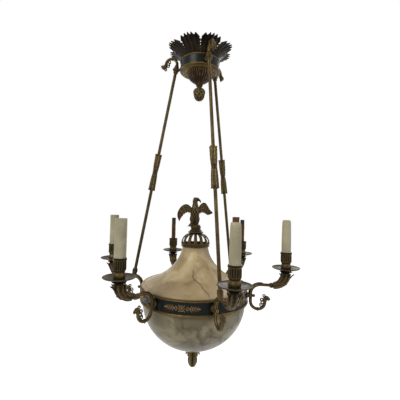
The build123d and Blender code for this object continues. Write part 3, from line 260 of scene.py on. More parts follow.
def on_radius(patch, level):
    """A patch made round an upright axis, laid on a level line out from the central axis."""
    return laid(patch, (0, 0, level), ACROSS, UP, (1, 0, 0))


def piece(name, patches, finish, replaced, body="chandelier", sharp=38, marks=None):
    """One object from patches: doubles merged, faces turned outwards, smooth apart from edges over the sharp
    angle. marks are more named values for each point, for the finish to read."""
    starts = np.cumsum([0] + [len(points) for points, _, _ in patches[:-1]])
    points = np.concatenate([points for points, _, _ in patches]) * MM
    quads = np.concatenate([quads + start for (_, quads, _), start in zip(patches, starts)])
    values = {"relief": np.concatenate([relief for _, _, relief in patches]), **(marks or {})}
    mesh = bpy.data.meshes.new(name)
    mesh.from_pydata(points.tolist(), [], quads.tolist())
    for mark, value in values.items():
        mesh.attributes.new(mark, "FLOAT", "POINT").data.foreach_set("value", value.astype(np.float32))
    work = bmesh.new()
    work.from_mesh(mesh)
    bmesh.ops.remove_doubles(work, verts=work.verts, dist=SAME_PLACE)
    bmesh.ops.recalc_face_normals(work, faces=work.faces)
    work.to_mesh(mesh)
    work.free()
    mesh.polygons.foreach_set("use_smooth", np.ones(len(mesh.polygons), bool))
    mesh.set_sharp_from_angle(angle=math.radians(sharp))
    mesh.materials.append(finish)
    made = bpy.data.objects.new(name, mesh)
    bpy.context.scene.collection.objects.link(made)
    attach(made, body)
    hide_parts(*replaced)


# Finishes


def srgb(red, green, blue):
    """A colour given as on a screen, from 0 to 255, as linear light."""
    share = np.array([red, green, blue]) / 255
    light = np.where(share <= 0.04045, share / 12.92, ((share + 0.055) / 1.055) ** 2.4)
    return (*light.tolist(), 1.0)


def new_group(name, inputs, outputs):
    """An empty node group with named sockets, and its input and output nodes."""
    group = bpy.data.node_groups.new(name, "ShaderNodeTree")
    for socket, kind in inputs:
        group.interface.new_socket(socket, in_out="INPUT", socket_type=kind)
    for socket, kind in outputs:
        group.interface.new_socket(socket, in_out="OUTPUT", socket_type=kind)
    return group, group.nodes.new("NodeGroupInput"), group.nodes.new("NodeGroupOutput")


def noise(tree, scale, detail=5.0, roughness=0.55, distortion=0.0, stretch=(1, 1, 1)):
    """Noise on the piece's own coordinates, its value."""
    place = tree.nodes.new("ShaderNodeTexCoord")
    mapping = tree.nodes.new("ShaderNodeMapping")
    mapping.inputs["Scale"].default_value = stretch
    texture = tree.nodes.new("ShaderNodeTexNoise")
    texture.inputs["Scale"].default_value = scale
    texture.inputs["Detail"].default_value = detail
    texture.inputs["Roughness"].default_value = roughness
    texture.inputs["Distortion"].default_value = distortion
    tree.links.new(place.outputs["Object"], mapping.inputs["Vector"])
    tree.links.new(mapping.outputs["Vector"], texture.inputs["Vector"])
    return texture.outputs["Fac"]


def math_node(tree, operation, first, second):
    """The value of a sum of two values or sockets; the operation is a node's name."""
    node = tree.nodes.new("ShaderNodeMath")
    node.operation = operation
    for socket, value in zip(node.inputs, (first, second)):
        if isinstance(value, (int, float)):
            socket.default_value = value
        else:
            tree.links.new(value, socket)
    return node.outputs[0]


def added(tree, first, second, share):
    """The first value plus a share of the second."""
    return math_node(tree, "ADD", first, math_node(tree, "MULTIPLY", second, share))


def ranged(tree, value, low, high, out_low=0.0, out_high=1.0):
    """A value's place between low and high, as a place between two other values, held at the ends."""
    node = tree.nodes.new("ShaderNodeMapRange")
    node.interpolation_type = "SMOOTHSTEP"
    tree.links.new(value, node.inputs["Value"])
    for socket, number in zip(("From Min", "From Max", "To Min", "To Max"), (low, high, out_low, out_high)):
        node.inputs[socket].default_value = number
    return node.outputs["Result"]


def mixed(tree, share, first, second):
    """Two colours or sockets mixed by a share."""
    node = tree.nodes.new("ShaderNodeMix")
    node.data_type = "RGBA"
    tree.links.new(share, node.inputs["Factor"])
    for name, colour in (("A", first), ("B", second)):
        socket = [found for found in node.inputs if found.name == name and found.type == "RGBA"][0]
        if isinstance(colour, tuple):
            socket.default_value = colour
        else:
            tree.links.new(colour, socket)
    return [found for found in node.outputs if found.type == "RGBA"][0]


def worn_metal_group():
    """Cast metal: dark in its hollows, bright on what stands up, with cloudy patina and fine grain."""
    colours = [(name, "NodeSocketColor") for name in ("Hollow", "Ground", "High")]
    values = [("Relief", "NodeSocketFloat"), ("Shine", "NodeSocketFloat")]
    group, given, made = new_group(
        "worn_metal",
        colours + values,
        [("Color", "NodeSocketColor"), ("Roughness", "NodeSocketFloat"), ("Height", "NodeSocketFloat")],
    )
    cloud = noise(group, 38.0, detail=6.0, distortion=0.6)
    grain = noise(group, 420.0, detail=3.0)
    streak = noise(group, 90.0, detail=4.0, stretch=(1, 1, 0.25))
    patina = added(group, math_node(group, "MULTIPLY", cloud, 0.7), streak, 0.5)
    patina = added(group, patina, grain, 0.25)
    level = added(group, patina, given.outputs["Relief"], 0.55)
    raised = ranged(group, level, 0.62, 1.25)
    sunk = ranged(group, level, 0.62, 0.15)
    ground = mixed(group, raised, given.outputs["Ground"], given.outputs["High"])
    colour = mixed(group, sunk, ground, given.outputs["Hollow"])
    rough = ranged(group, patina, 0.35, 1.1, 0.58, 0.30)
    rough = added(group, rough, given.outputs["Shine"], -0.2)
    group.links.new(colour, made.inputs["Color"])
    group.links.new(rough, made.inputs["Roughness"])
    group.links.new(added(group, grain, cloud, 0.6), made.inputs["Height"])
    return group


def alabaster_group():
    """Cloudy stone: large soft clouds, smaller blots, and thin veins where a noise crosses its middle."""
    outputs = [(name, "NodeSocketFloat") for name in ("Cloud", "Blot", "Vein")]
    group, _, made = new_group("alabaster", [], outputs)
    cloud = noise(group, 11.0, detail=4.0, roughness=0.5, distortion=1.2)
    blot = noise(group, 27.0, detail=7.0, roughness=0.62, distortion=0.8)
    wander = noise(group, 9.0, detail=6.0, roughness=0.6, distortion=1.6)
    off_middle = math_node(group, "ABSOLUTE", math_node(group, "SUBTRACT", wander, 0.5), 0.0)
    thin = ranged(group, off_middle, 0.018, 0.0)
    group.links.new(ranged(group, cloud, 0.38, 0.66), made.inputs["Cloud"])
    group.links.new(ranged(group, blot, 0.45, 0.70), made.inputs["Blot"])
    group.links.new(math_node(group, "MULTIPLY", thin, ranged(group, blot, 0.42, 0.62)), made.inputs["Vein"])
    return group


def new_finish(name):
    """An empty material, its node tree and its shader."""
    finish = bpy.data.materials.new(name)
    finish.use_nodes = True
    return finish, finish.node_tree, finish.node_tree.nodes["Principled BSDF"]


def placed(tree, group):
    """A node group placed in a material."""
    node = tree.nodes.new("ShaderNodeGroup")
    node.node_tree = group
    return node


def mark_of(tree, name):
    """A named value of the piece's points."""
    node = tree.nodes.new("ShaderNodeAttribute")
    node.attribute_name = name
    return node.outputs["Fac"]


def bumped(tree, shader, height, strength, distance):
    """A bump on the shader's normal."""
    bump = tree.nodes.new("ShaderNodeBump")
    bump.inputs["Strength"].default_value = strength
    bump.inputs["Distance"].default_value = distance
    tree.links.new(height, bump.inputs["Height"])
    tree.links.new(bump.outputs["Normal"], shader.inputs["Normal"])


worn_metal = worn_metal_group()


def metal_finish(name, hollow, ground, high, shine, bump=0.25):
    """A worn cast metal in three colours."""
    finish, tree, shader = new_finish(name)
    worn = placed(tree, worn_metal)
    for socket, colour in (("Hollow", hollow), ("Ground", ground), ("High", high)):
        worn.inputs[socket].default_value = colour
    worn.inputs["Shine"].default_value = shine
    tree.links.new(mark_of(tree, "relief"), worn.inputs["Relief"])
    tree.links.new(worn.outputs["Color"], shader.inputs["Base Color"])
    tree.links.new(worn.outputs["Roughness"], shader.inputs["Roughness"])
    shader.inputs["Metallic"].default_value = 0.5
    shader.inputs["Specular IOR Level"].default_value = 0.15
    bumped(tree, shader, worn.outputs["Height"], bump, 0.0006)
    return finish


def stone_finish(name, ground, light, dark, vein, dark_share, vein_share):
    """Polished alabaster: ground colour with light patches, dark clouds, and marked or wandering veins."""
    finish, tree, shader = new_finish(name)
    stone = placed(tree, alabaster)
    patch = ranged(tree, math_node(tree, "ADD", mark_of(tree, "patch"), stone.outputs["Cloud"]), 0.25, 1.35)
    colour = mixed(tree, patch, ground, light)
    cloud = math_node(tree, "MULTIPLY", stone.outputs["Blot"], dark_share)
    cloud = added(tree, cloud, mark_of(tree, "shade"), stone.outputs["Blot"])
    colour = mixed(tree, math_node(tree, "MINIMUM", cloud, 0.9), colour, dark)
    thread = added(tree, mark_of(tree, "vein"), stone.outputs["Vein"], vein_share)
    colour = mixed(tree, math_node(tree, "MINIMUM", thread, 0.85), colour, vein)
    tree.links.new(colour, shader.inputs["Base Color"])
    tree.links.new(ranged(tree, stone.outputs["Blot"], 0.0, 1.0, 0.30, 0.42), shader.inputs["Roughness"])
    shader.inputs["Specular IOR Level"].default_value = 0.2
    shader.inputs["Subsurface Weight"].default_value = 0.15
    shader.inputs["Subsurface Radius"].default_value = (0.012, 0.008, 0.005)
    bumped(tree, shader, stone.outputs["Blot"], 0.08, 0.0006)
    return finish


def plain_finish(name, low, high, scale, rough, bump, stretch=(1, 1, 1), dark_mark=None):
    """A dull finish between two colours by a noise, with a third colour where the piece's relief mark, with a
    fine noise, is high.
    """
    finish, tree, shader = new_finish(name)
    spread = noise(tree, scale, detail=6.0, distortion=0.5, stretch=stretch)
    fine = noise(tree, 9 * scale, detail=4.0, stretch=stretch)
    colour = mixed(tree, ranged(tree, spread, 0.35, 0.68), low, high)
    if dark_mark:
        dark_mark_share = ranged(tree, math_node(tree, "ADD", mark_of(tree, "relief"), fine), 0.75, 1.35)
        colour = mixed(tree, dark_mark_share, colour, dark_mark)
    tree.links.new(colour, shader.inputs["Base Color"])
    tree.links.new(ranged(tree, fine, 0.3, 0.7, rough[0], rough[1]), shader.inputs["Roughness"])
    shader.inputs["Specular IOR Level"].default_value = 0.25
    bumped(tree, shader, fine, bump, 0.0005)
    return finish


def paint_finish(name, low, high):
    """Glossy dark paint with soft lighter patches of painted sheen, and fine scratches that dull it."""
    finish, tree, shader = new_finish(name)
    painted_sheen = noise(tree, 16.0, detail=5.0, distortion=0.8)
    scratch = noise(tree, 160.0, detail=4.0, stretch=(1, 1, 6))
    # painted sheen: the lighter colour, in soft noise patches, stands in for highlights on the gloss
    tree.links.new(mixed(tree, ranged(tree, painted_sheen, 0.40, 0.72), low, high), shader.inputs["Base Color"])
    tree.links.new(ranged(tree, scratch, 0.35, 0.75, 0.24, 0.44), shader.inputs["Roughness"])
    shader.inputs["Specular IOR Level"].default_value = 0.14
    bumped(tree, shader, scratch, 0.06, 0.0004)
    return finish


def cup_finish(name, hollow, ground, high, ring):
    """The bronze of a candle cup, blackened at its rim."""
    finish = metal_finish(name, hollow, ground, high, 0.1)
    tree = finish.node_tree
    shader = tree.nodes["Principled BSDF"]
    colour = shader.inputs["Base Color"].links[0].from_socket
    place = tree.nodes.new("ShaderNodeTexCoord")
    parts = tree.nodes.new("ShaderNodeSeparateXYZ")
    tree.links.new(place.outputs["Object"], parts.inputs["Vector"])
    black = ranged(tree, parts.outputs["Z"], (PAN_RIM + 36.4) * MM, (PAN_RIM + 37.0) * MM)
    tree.links.new(mixed(tree, black, colour, ring), shader.inputs["Base Color"])
    return finish


alabaster = alabaster_group()
HOLLOW = srgb(22, 17, 9)
BRONZE = srgb(66, 54, 30)
BRONZE_HIGH = srgb(116, 97, 58)
bronze = metal_finish("aged_bronze", HOLLOW, BRONZE, BRONZE_HIGH, 0.1)
bronze_cup = cup_finish("cup_bronze", HOLLOW, BRONZE, BRONZE_HIGH, srgb(24, 21, 15))
horn_bronze = metal_finish("horn_bronze", srgb(18, 14, 8), srgb(52, 42, 23), srgb(98, 80, 46), 0.0)
eagle_bronze = metal_finish("eagle_bronze", srgb(14, 11, 6), srgb(46, 37, 21), srgb(100, 82, 49), 0.1)
leaf_bronze = metal_finish("leaf_bronze", srgb(8, 6, 4), srgb(22, 16, 9), srgb(58, 42, 23), 0.0)
bell_bronze = metal_finish("bell_bronze", srgb(12, 9, 5), srgb(42, 29, 16), srgb(190, 158, 100), 0.0)
gilt = metal_finish("worn_gilt", srgb(38, 29, 14), srgb(86, 69, 37), srgb(146, 118, 68), 0.3, 0.15)
spray_gilt = metal_finish("spray_gilt", srgb(38, 30, 20), srgb(86, 67, 44), srgb(138, 114, 80), 0.2, 0.15)
steel = metal_finish("plain_steel", srgb(38, 35, 30), srgb(92, 88, 80), srgb(140, 134, 122), 0.2)
# the second colour is the painted sheen of the paint, in soft patches
green_paint = paint_finish("green_paint", srgb(4, 9, 7), srgb(11, 20, 15))
lid_stone = stone_finish(
    "lid_alabaster",
    ground=srgb(171, 150, 113),
    light=srgb(205, 187, 145),
    dark=srgb(138, 115, 80),
    vein=srgb(80, 70, 54),
    dark_share=0.35,
    vein_share=0.22,
)
bowl_stone = stone_finish(
    "bowl_alabaster",
    ground=srgb(122, 112, 86),
    light=srgb(158, 148, 120),
    dark=srgb(76, 69, 51),
    vein=srgb(60, 54, 41),
    dark_share=0.65,
    vein_share=0.12,
)
ivory = plain_finish("ivory_sleeve", srgb(160, 153, 126), srgb(182, 175, 148), 22.0, (0.42, 0.60), 0.05,
                     dark_mark=srgb(132, 126, 104))
tube_brown = plain_finish("brown_tube", srgb(62, 40, 21), srgb(100, 66, 35), 60.0, (0.55, 0.85), 0.3,
                          stretch=(1, 1, 0.4), dark_mark=srgb(40, 34, 24))
felt = plain_finish("brown_felt", srgb(40, 36, 28), srgb(62, 56, 44), 300.0, (0.85, 0.98), 0.4)


# Crown


LEAF_LEAN = 19.0  # degrees out from upright at the root
LEAF_BEND = 47.0  # degrees more at the tips
LEAF_ROOT_R = 51.0
LEAF_ARC = 57.5
LEAF_FOOT = -57.5


def crown_leaf():
    """A flared leaf: u runs across it from -1 to 1 and v up it from 0 to 1; v leans out along an arc, the
    half width grows with v and has teeth, the top edge is notched between five tips, and ribs fan out from
    the root."""
    u = np.linspace(-1, 1, 81)[None, :]
    v = np.linspace(0, 1, 56)[:, None]
    notches = 0.09 * (0.5 - 0.5 * np.cos(2.5 * TURN * u + 0.5 * np.sin(4 * u)))
    top = 1 - 0.06 * u**2 - notches - 0.05 * np.abs(u) ** 12
    rise = v * top
    lean = np.radians(LEAF_LEAN + LEAF_BEND * rise)
    reach = LEAF_ROOT_R + LEAF_ARC * (math.cos(math.radians(LEAF_LEAN)) - np.cos(lean + 0.22 * rise**5))
    height = LEAF_FOOT + LEAF_ARC * (np.sin(lean) - math.sin(math.radians(LEAF_LEAN)))
    teeth = 2.4 * (np.abs(np.sin(2.75 * TURN * v)) - 0.3) * np.clip(2.2 * v - 0.5, 0, 1)
    across = u * (19.2 + 6.6 * v + np.abs(u) ** 3 * teeth)
    out = np.sqrt(np.maximum(reach**2 - across**2, 1.0))
    middle = np.stack([out, across, height], axis=-1)
    ribs = 0.5 * np.cos(2 * TURN * u) * v + 0.9 * np.exp(-((u / 0.07) ** 2)) + 0 * v
    normal = normals_of(middle)
    normal *= np.sign(normal[..., :1])
    relief = unit_relief(ribs) * 0.8
    return shell_patch(middle + normal * (0.9 + ribs)[..., None], middle - normal * 0.9, relief)


piece(
    "crown_palmettes",
    all_turned([crown_leaf()], LEAF_ANGLES),
    leaf_bronze,
    ["crown_leaves"],
)


def hoop_line(inner, outer, bottom, top, edge=0.3):
    """Section of a flat hoop as radius and height, with its two outer edges broken."""
    outside = [(outer - edge, bottom), (outer, bottom + edge), (outer, top - edge), (outer - edge, top)]
    return [(inner, bottom), *outside, (inner, top)]


piece(
    "crown_hoop",
    [lathe(hoop_line(53.5, CROWN_R, CROWN_BOTTOM, CROWN_TOP), 128)],
    green_paint,
    ["crown_band"],
)
top_ring_edge = np.vstack([
    [(48, CROWN_TOP), (55.6, CROWN_TOP)],
    arc(55.6, -59.9, 2.0, -80, 80, 9),
    [(54.0, LEAF_FOOT), (48, LEAF_FOOT)],
])
piece("crown_gilt_ring", [lathe(top_ring_edge, 128)], gilt, ["crown_top_ring"])

base_steps = np.vstack([
    [(STEM_R, BASE_BOTTOM), (33.5, BASE_BOTTOM)],
    arc(36.0, BASE_BOTTOM, 1.3, 180, 360, 9),
    [(40.5, BASE_BOTTOM), (43.5, -90.6)],
    arc(45.5, -90.4, 1.3, 190, 350, 9),
    [(48, -89.6), (51.2, -89.4), (51.6, -88.2), (54.6, -88)],
    arc(55.6, -86.0, 2.0, -70, 70, 9),
    [(55.8, CROWN_BOTTOM), (53.4, CROWN_BOTTOM), (53.4, -83), (50.2, -83), (50.2, -86), (STEM_R, -86)],
])
piece("crown_underside", [lathe(base_steps, 128)], gilt, ["crown_base"])


DENTILS = 34


def bell_flutes(turn, height):
    """A row of dentils at the bell's top, then flutes that fade out towards its neck."""
    dentils = 1.5 * (np.cos(DENTILS * turn) > 0.1) * ((height < -91.8) & (height > -95.2))
    fade = np.clip((-97.0 - height) / 3, 0, 1) * np.clip((height + 124.0) / 12, 0, 1)
    return dentils - 1.0 * (0.5 + 0.5 * np.cos(26 * turn)) * fade


flare = [(34.2, -97), (33.4, -101), (30.6, -106.5), (25.4, -112), (17.6, -117.6), (12.0, -122), (9.3, -126)]
bell_line = np.vstack([
    [(STEM_R, BASE_BOTTOM), (33.4, BASE_BOTTOM), (33.4, -91.7), (33.2, -91.9), (33.2, -95.1)],
    [(33.4, -95.3), (34.6, -95.6), (34.6, -96.6)],
    curve(flare, 42),
    [(9, BELL_BOTTOM), (STEM_R, BELL_BOTTOM)],
])
piece(
    "crown_fluted_bell",
    [lathe(bell_line, 8 * DENTILS, bell_flutes)],
    bell_bronze,
    ["crown_bell"],
)


def acorn_scales(turn, height):
    """Small knobs on the acorn's cap and a slanting net of ridges on its nut."""
    cap = 0.45 * np.cos(20 * turn) * np.cos(1.9 * (height + 136)) * ((height < -137.5) & (height > -147.6))
    nut_fade = ((height < -148.6) & (height > -169.5)) * 1.0
    net = np.maximum(np.cos(8 * turn + 0.42 * height), np.cos(8 * turn - 0.42 * height))
    return cap + 0.75 * (net - 0.6) * nut_fade


acorn_line = np.vstack([
    [(0, -149.3), (STEM_R, -149.3), (STEM_R, BELL_BOTTOM), (9, BELL_BOTTOM)],
    [(9.4, -128.2), (8.2, -129.4), (6.8, -132), (7.4, -134.6)],
    curve([(9.5, -136), (13.6, -137.5), (16.6, -141.5), (17.4, -146)], 18),
    [(17.4, -147.6), (16.6, -148.2)],
    curve([(16.3, -149.5), (15.9, -154.5), (13.6, -162), (8.6, -168.4), (3, -171), (0, -171.5)], 34),
])
piece("crown_acorn_nut", [lathe(acorn_line, 160, acorn_scales, loop=False)], bronze, ["crown_acorn"])

lug_collar = np.vstack([
    [(4.6, -4), (7.6, -4), (8.4, -3.2)],
    arc(7.2, 0, 3.0, -50, 50, 11),
    [(8.4, 3.2), (7.6, 4), (4.6, 4)],
])
lug_arm = [(0, 56), (7, 56), (7, 57.8), (6.2, 58.6), (4.6, 59), (3.8, 60), (3.8, 66.6), (0, 66.6)]
lug_stud = [(0, 44.2), (3, 44.2), (3, 56.2), (0, 56.2)]
lug = [on_rod(lathe(lug_collar, 48)), on_radius(lathe(lug_arm, 40, loop=False), LUG_LEVEL)]
lug.append(on_radius(lathe(lug_stud, 24, loop=False), LUG_LEVEL))
piece("crown_lug_collars", all_turned(lug, ROD_ANGLES), bronze, ["crown_lugs"])


# Bird heads, rods and crooks


def neck_rings(share, turn):
    """Fine rings round a bird's neck."""
    return 0.05 * np.cos(26 * share * TURN) + 0 * turn


def bird_head(hook_r):
    """In the hook's own plane, X out and Y along the strand's end: neck, head and hooked beak as one tube
    that swells and tapers, two eyes, a ring on the crown and a crest of wire loops along the inner side."""
    knots = [(0, -1, 3.7), (0, 3, 4.6), (0.3, 7, 6.2), (2.2, 11.0, 6.6), (5.6, 12.2, 5.0), (9.0, 11.0, 3.3)]
    line = curve(knots + [(12.0, 8.6, 2.0), (13.2, 6.0, 0.5)], 44)
    path = np.column_stack([hook_r + line[:, 0], line[:, 1], np.zeros(len(line))])
    patches = [sweep(path, line[:, 2] * 0.9, UP, line[:, 2], ripple=neck_rings)]
    lower_beak = curve([(6, 9, 2.6), (9, 6.4, 2.0), (11, 3.6, 0.5)], 14)
    path = np.column_stack([hook_r + lower_beak[:, 0], lower_beak[:, 1], np.zeros(14)])
    patches.append(sweep(path, lower_beak[:, 2], UP, steps=14))
    patches += [ball((hook_r + 3.4, 12.0, side * 5.2), 1.5, 8) for side in (-1, 1)]
    for angle in (-44, -6, 32):
        spot = np.radians(angle)
        middle = ((hook_r - 7.0) * math.cos(spot), (hook_r - 7.0) * math.sin(spot), 0)
        patches.append(wire_ring(middle, 3.3, 1.6, (1, 0, 0), (0, 1, 0)))
        tip = ((hook_r - 11.4) * math.cos(spot), (hook_r - 11.4) * math.sin(spot), 0)
        patches.append(ball(tip, 1.9, 8))
    patches.append(wire_ring((hook_r - 3.0, 17.0, 0), 3.0, 1.6, (1, 0, 0), (0, 1, 0)))
    return patches


def strand_taper(share, turn):
    """Fine long reeds along a strand."""
    return 0.045 * np.cos(6 * turn) + 0 * share


rod_line = np.vstack([
    [(0, -610.7), (ROD_R, -610.7), (ROD_R, -600.1)],
    [(6.4, -600.1), (7.0, -599), (7.0, -596.4), (6.2, -595.4), (5.2, -594.6), (ROD_R, -593.4)],
    np.column_stack([np.full(40, ROD_R), np.linspace(-592, -12, 40)]),
    [(5.2, -10.6), (6.6, -9.2), (7.0, -7.6), (6.4, -5.8), (7.0, -4.8), (6.2, -4.05), (ROD_R, -4.05)],
    [(ROD_R, 11), (0, 11)],
])
rod = on_rod(lathe(rod_line, 32, loop=False))

crook_strand = np.vstack([[(0, 11.4), (0, CROOK_RISE)], arc(CROOK_R, CROOK_RISE, CROOK_R, 180, 0, 40)[1:]])
crook_path = in_radial_plane(crook_strand)
crook_foot = [(4.6, 4), (6.4, 4), (7.0, 5), (7.0, 7), (6.2, 8), (6.6, 9), (6.0, 11), (4.9, 13.4)]
crook_foot += [(4.4, CROOK_RISE), (0, CROOK_RISE), (0, 11.3), (4.6, 11.3)]
crook_size = np.linspace(4.4, 3.6, len(crook_path))
crook = [on_rod(sweep(crook_path, crook_size, ACROSS, ripple=strand_taper)), on_rod(lathe(crook_foot, 32))]
hook_middle = np.array(LUG_POINT) + CROOK_R * np.array(ROD_OUT) + CROOK_RISE * np.array(ROD_UP)
crook += [laid(patch, hook_middle, ROD_OUT, -np.array(ROD_UP), ACROSS) for patch in bird_head(CROOK_R)]
crook.append(on_rod(wire_ring((CROOK_R, 0, CROOK_RISE + CROOK_R), 4.2, 1.3, ACROSS, UP)))

SLEEVE_MIDDLE = -306.9


def sleeve_leaves(end):
    """Leaves wrapped round the rod: turn and length as a grid, the radius growing towards the tips with a
    rib up each leaf, and the length notched between six tips; a plain wall lies inside."""
    turn = np.linspace(0, TURN, 97)[None, :-1]
    share = np.linspace(0, 1, 40)[:, None]
    tips = 0.5 + 0.5 * np.cos(6 * turn)
    along = 5.0 + (42.0 + 7.0 * tips**1.5) * share
    ribs = 0.55 * np.cos(12 * turn) * np.sin(math.pi * np.clip(share * 1.05, 0, 1)) + 0.5 * tips**3
    steps = 0.35 * np.abs(np.sin(4.5 * math.pi * share))
    radius = 7.0 + 1.4 * np.sqrt(share) + 0.5 * share + ribs + steps + 0.9 * share**6 * tips
    wall = np.full_like(radius, 4.6)
    height = SLEEVE_MIDDLE + end * along
    front = np.stack([radius * np.cos(turn), radius * np.sin(turn), height], axis=-1)
    back = np.stack([wall * np.cos(turn), wall * np.sin(turn), height], axis=-1)
    return shell_patch(front, back, unit_relief(ribs + steps - 0.35), around=True)


double_ring = np.vstack([
    [(4.6, -7)],
    arc(6.2, -2.6, 1.9, -90, 90, 9),
    arc(6.2, 2.6, 1.9, -90, 90, 9),
    [(4.6, 7)],
])
double_ring[:, 1] += SLEEVE_MIDDLE
rod_sleeve = [on_rod(sleeve_leaves(-1)), on_rod(sleeve_leaves(1)), on_rod(lathe(double_ring, 48))]
piece("rod_leaf_sleeves", all_turned(rod_sleeve, ROD_ANGLES), bronze, ["rod_sleeves"])
for number, angle in enumerate(ROD_ANGLES, start=1):
    piece(f"hanger_rod_bar_{number}", [turned(rod, angle)], bronze, [f"hanger_rod_{number}"])
    piece(f"crook_bird_{number}", all_turned(crook, [angle]), bronze, [f"crook_{number}"])


# Arms, horns and candles


arm_line = np.vstack([
    np.column_stack([np.linspace(222.5, 183, 14), np.full(14, ARM_LEVEL)]),
    arc(KNEE_X, ARM_LEVEL - KNEE_R, KNEE_R, 90, 180, 26),
    np.column_stack([np.full(8, KNEE_X - KNEE_R), np.linspace(-709.5, -728, 8)]),
    arc(SCROLL_X, SCROLL_LEVEL, SCROLL_R, 180, 360, 44),
])
arm_size = np.interp(np.linspace(0, 1, len(arm_line)), [0, 0.12, 0.2, 0.5, 1], [3.9, 3.9, 4.8, 4.5, 3.7])
arm_cast = [sweep(in_radial_plane(arm_line), arm_size, ACROSS, ripple=strand_taper)]
scroll_middle = (SCROLL_X, 0, SCROLL_LEVEL)
arm_cast += [laid(patch, scroll_middle, (1, 0, 0), UP, ACROSS) for patch in bird_head(SCROLL_R)]
arm_cast.append(wire_ring((SCROLL_X, 0, SCROLL_LEVEL - SCROLL_R), 4.0, 1.5, ACROSS, UP))
knee_leaf = arc(KNEE_X, ARM_LEVEL - KNEE_R, KNEE_R + 4.2, 74, 186, 30)
knee_width = np.interp(np.linspace(0, 1, 30), [0, 0.25, 0.7, 1], [1.0, 5.6, 4.4, 0.6])
knee_width = knee_width * (1 + 0.14 * np.cos(np.linspace(0, 5 * TURN, 30)))
arm_cast.append(blade(in_radial_plane(knee_leaf), knee_width, 1.2, ACROSS, ribs=0.8))
flange = [(0, 147.02), (9.5, 147.02), (9.5, 148.4), (8.6, 149.6), (6.8, 150), (5.8, 151), (5.5, 153)]
flange += [(5.5, 160.6), (4.6, 162), (0, 162)]
arm_cast.append(on_radius(lathe(flange, 40, loop=False), BOLT_LEVEL))
collar = [(3.6, 207), (5.4, 207), (6.6, 208.2), (6.0, 209.6), (6.6, 211), (7.2, 212.6), (6.4, 214.4)]
collar += [(5.8, 214.98), (3.6, 214.98)]
arm_cast.append(on_radius(lathe(collar, 40), ARM_LEVEL))
socket_line = [(0, 0), (6.6, 0), (7.6, 2), (7.2, 5), (6.6, 7), (7.2, 12), (8.0, 15), (7.6, 17)]
socket_line = np.array(socket_line + [(4.6, 17), (4.6, 6), (0, 6)])
socket_line[:, 1] -= ROD_LENGTH
rod_socket = on_rod(lathe(socket_line, 40, loop=False))

bolt_half = arc(0, 165.4, 4.2, -54, 90, 16)
bolt_line = np.vstack([[(0, 134), (2.5, 134), (2.5, 162)], bolt_half[:-1], [(0, 169.6)]])
bolt = on_radius(lathe(bolt_line, 32, loop=False), BOLT_LEVEL)
piece("arm_bolt_balls", all_turned([bolt], ARM_ANGLES), gilt, ["arm_bolts"])


def horn_place(share):
    """Middle of the horn's bend at a share of its quarter circle, and the way it heads there."""
    angle = share * math.pi / 2
    middle = np.array([HORN_START + HORN_BEND * math.sin(angle), 0, HORN_TOP - HORN_BEND * math.cos(angle)])
    return middle, np.array([math.cos(angle), 0, math.sin(angle)])


def horn_size(share):
    """Radius of the horn's trumpet at a share of its bend."""
    return 6.4 + 6.4 * np.asarray(share) ** 0.9


def off_horn(heading, spin):
    """The way off the trumpet at a turn round it."""
    return math.cos(spin) * np.array([-heading[2], 0, heading[0]]) + math.sin(spin) * np.array(ACROSS)


def horn_leaf(start, end, spin, width, curl):
    """A leaf that follows the trumpet between two shares of its bend, a turn round it; its width swells,
    has blunt teeth and ends in a point, and over its last part it curls off the trumpet."""
    step = np.linspace(0, 1, 26)
    points = []
    for far in step:
        share = start + (end - start) * far
        middle, heading = horn_place(share)
        lift = 0.3 + curl * max(far - 0.62, 0) ** 1.6 / 0.38**1.6
        back = curl * 0.35 * max(far - 0.85, 0) / 0.15
        points.append(middle + off_horn(heading, spin) * (horn_size(share) + lift) - heading * back)
    heading = horn_place((start + end) / 2)[1]
    side = np.cross(heading, off_horn(heading, spin))
    swell = width * np.interp(step, [0, 0.35, 0.75, 1], [0.8, 1.0, 0.75, 0.15])
    swell = swell * (1 + 0.12 * np.cos(step * 4 * TURN))
    return blade(np.array(points), swell, np.interp(step, [0, 1], [1.2, 0.8]), side, ribs=0.8)


horn_path = np.array([horn_place(share)[0] for share in np.linspace(0, 1, 40)])
horn_cast = [
    sweep(
        horn_path,
        horn_size(np.linspace(0, 1, 40)) - 0.4,
        ACROSS,
        steps=72,
        ripple=lambda share, turn: 0.06 * np.cos(8 * turn) * share,
    )
]
for spin in np.linspace(0, TURN, 8, endpoint=False):
    outermost = abs(spin - math.pi) < 0.1
    innermost = spin < 0.1
    horn_cast.append(horn_leaf(0.42, 1.02, spin, 4.9, 8.2 if outermost else 4.2 if innermost else 2.6))
    horn_cast.append(horn_leaf(0.04, 0.62, spin + TURN / 16, 3.8, 1.4))
horn_neck = np.vstack([
    [(0, HORN_TOP - 3), (9.6, HORN_TOP - 3), (9.2, HORN_TOP + 1), (10.4, HORN_TOP + 2.6)],
    [(14.6, HORN_TOP + 4.0), (16.3, HORN_TOP + 5.0), (14.8, HORN_TOP + 5.8), (11.4, HORN_TOP + 6.6)],
    [(12.6, HORN_TOP + 8.2), (14.4, PAN_SEAT - 0.02), (TUBE_HOLE_R, PAN_SEAT - 0.02)],
    [(TUBE_HOLE_R, PAN_SEAT - 5.3), (0, PAN_SEAT - 5.3)],
])
horn_cast.append(on_candle(lathe(horn_neck, 56, loop=False)))
pan_line = np.vstack([
    [(TUBE_HOLE_R, PAN_SEAT), (15, PAN_SEAT)],
    curve([(20, -638.6), (27, -637.4), (33, -635.6), (36.0, -633.8)], 14),
    arc(35.6, -632.9, 0.9, -40, 150, 10),
    curve([(33.8, -633.2), (30, -634.6), (24, -635.9), (18, -636.4)], 12),
    [(TUBE_HOLE_R, -636.5)],
])
drip_pan = on_candle(lathe(pan_line, 96))


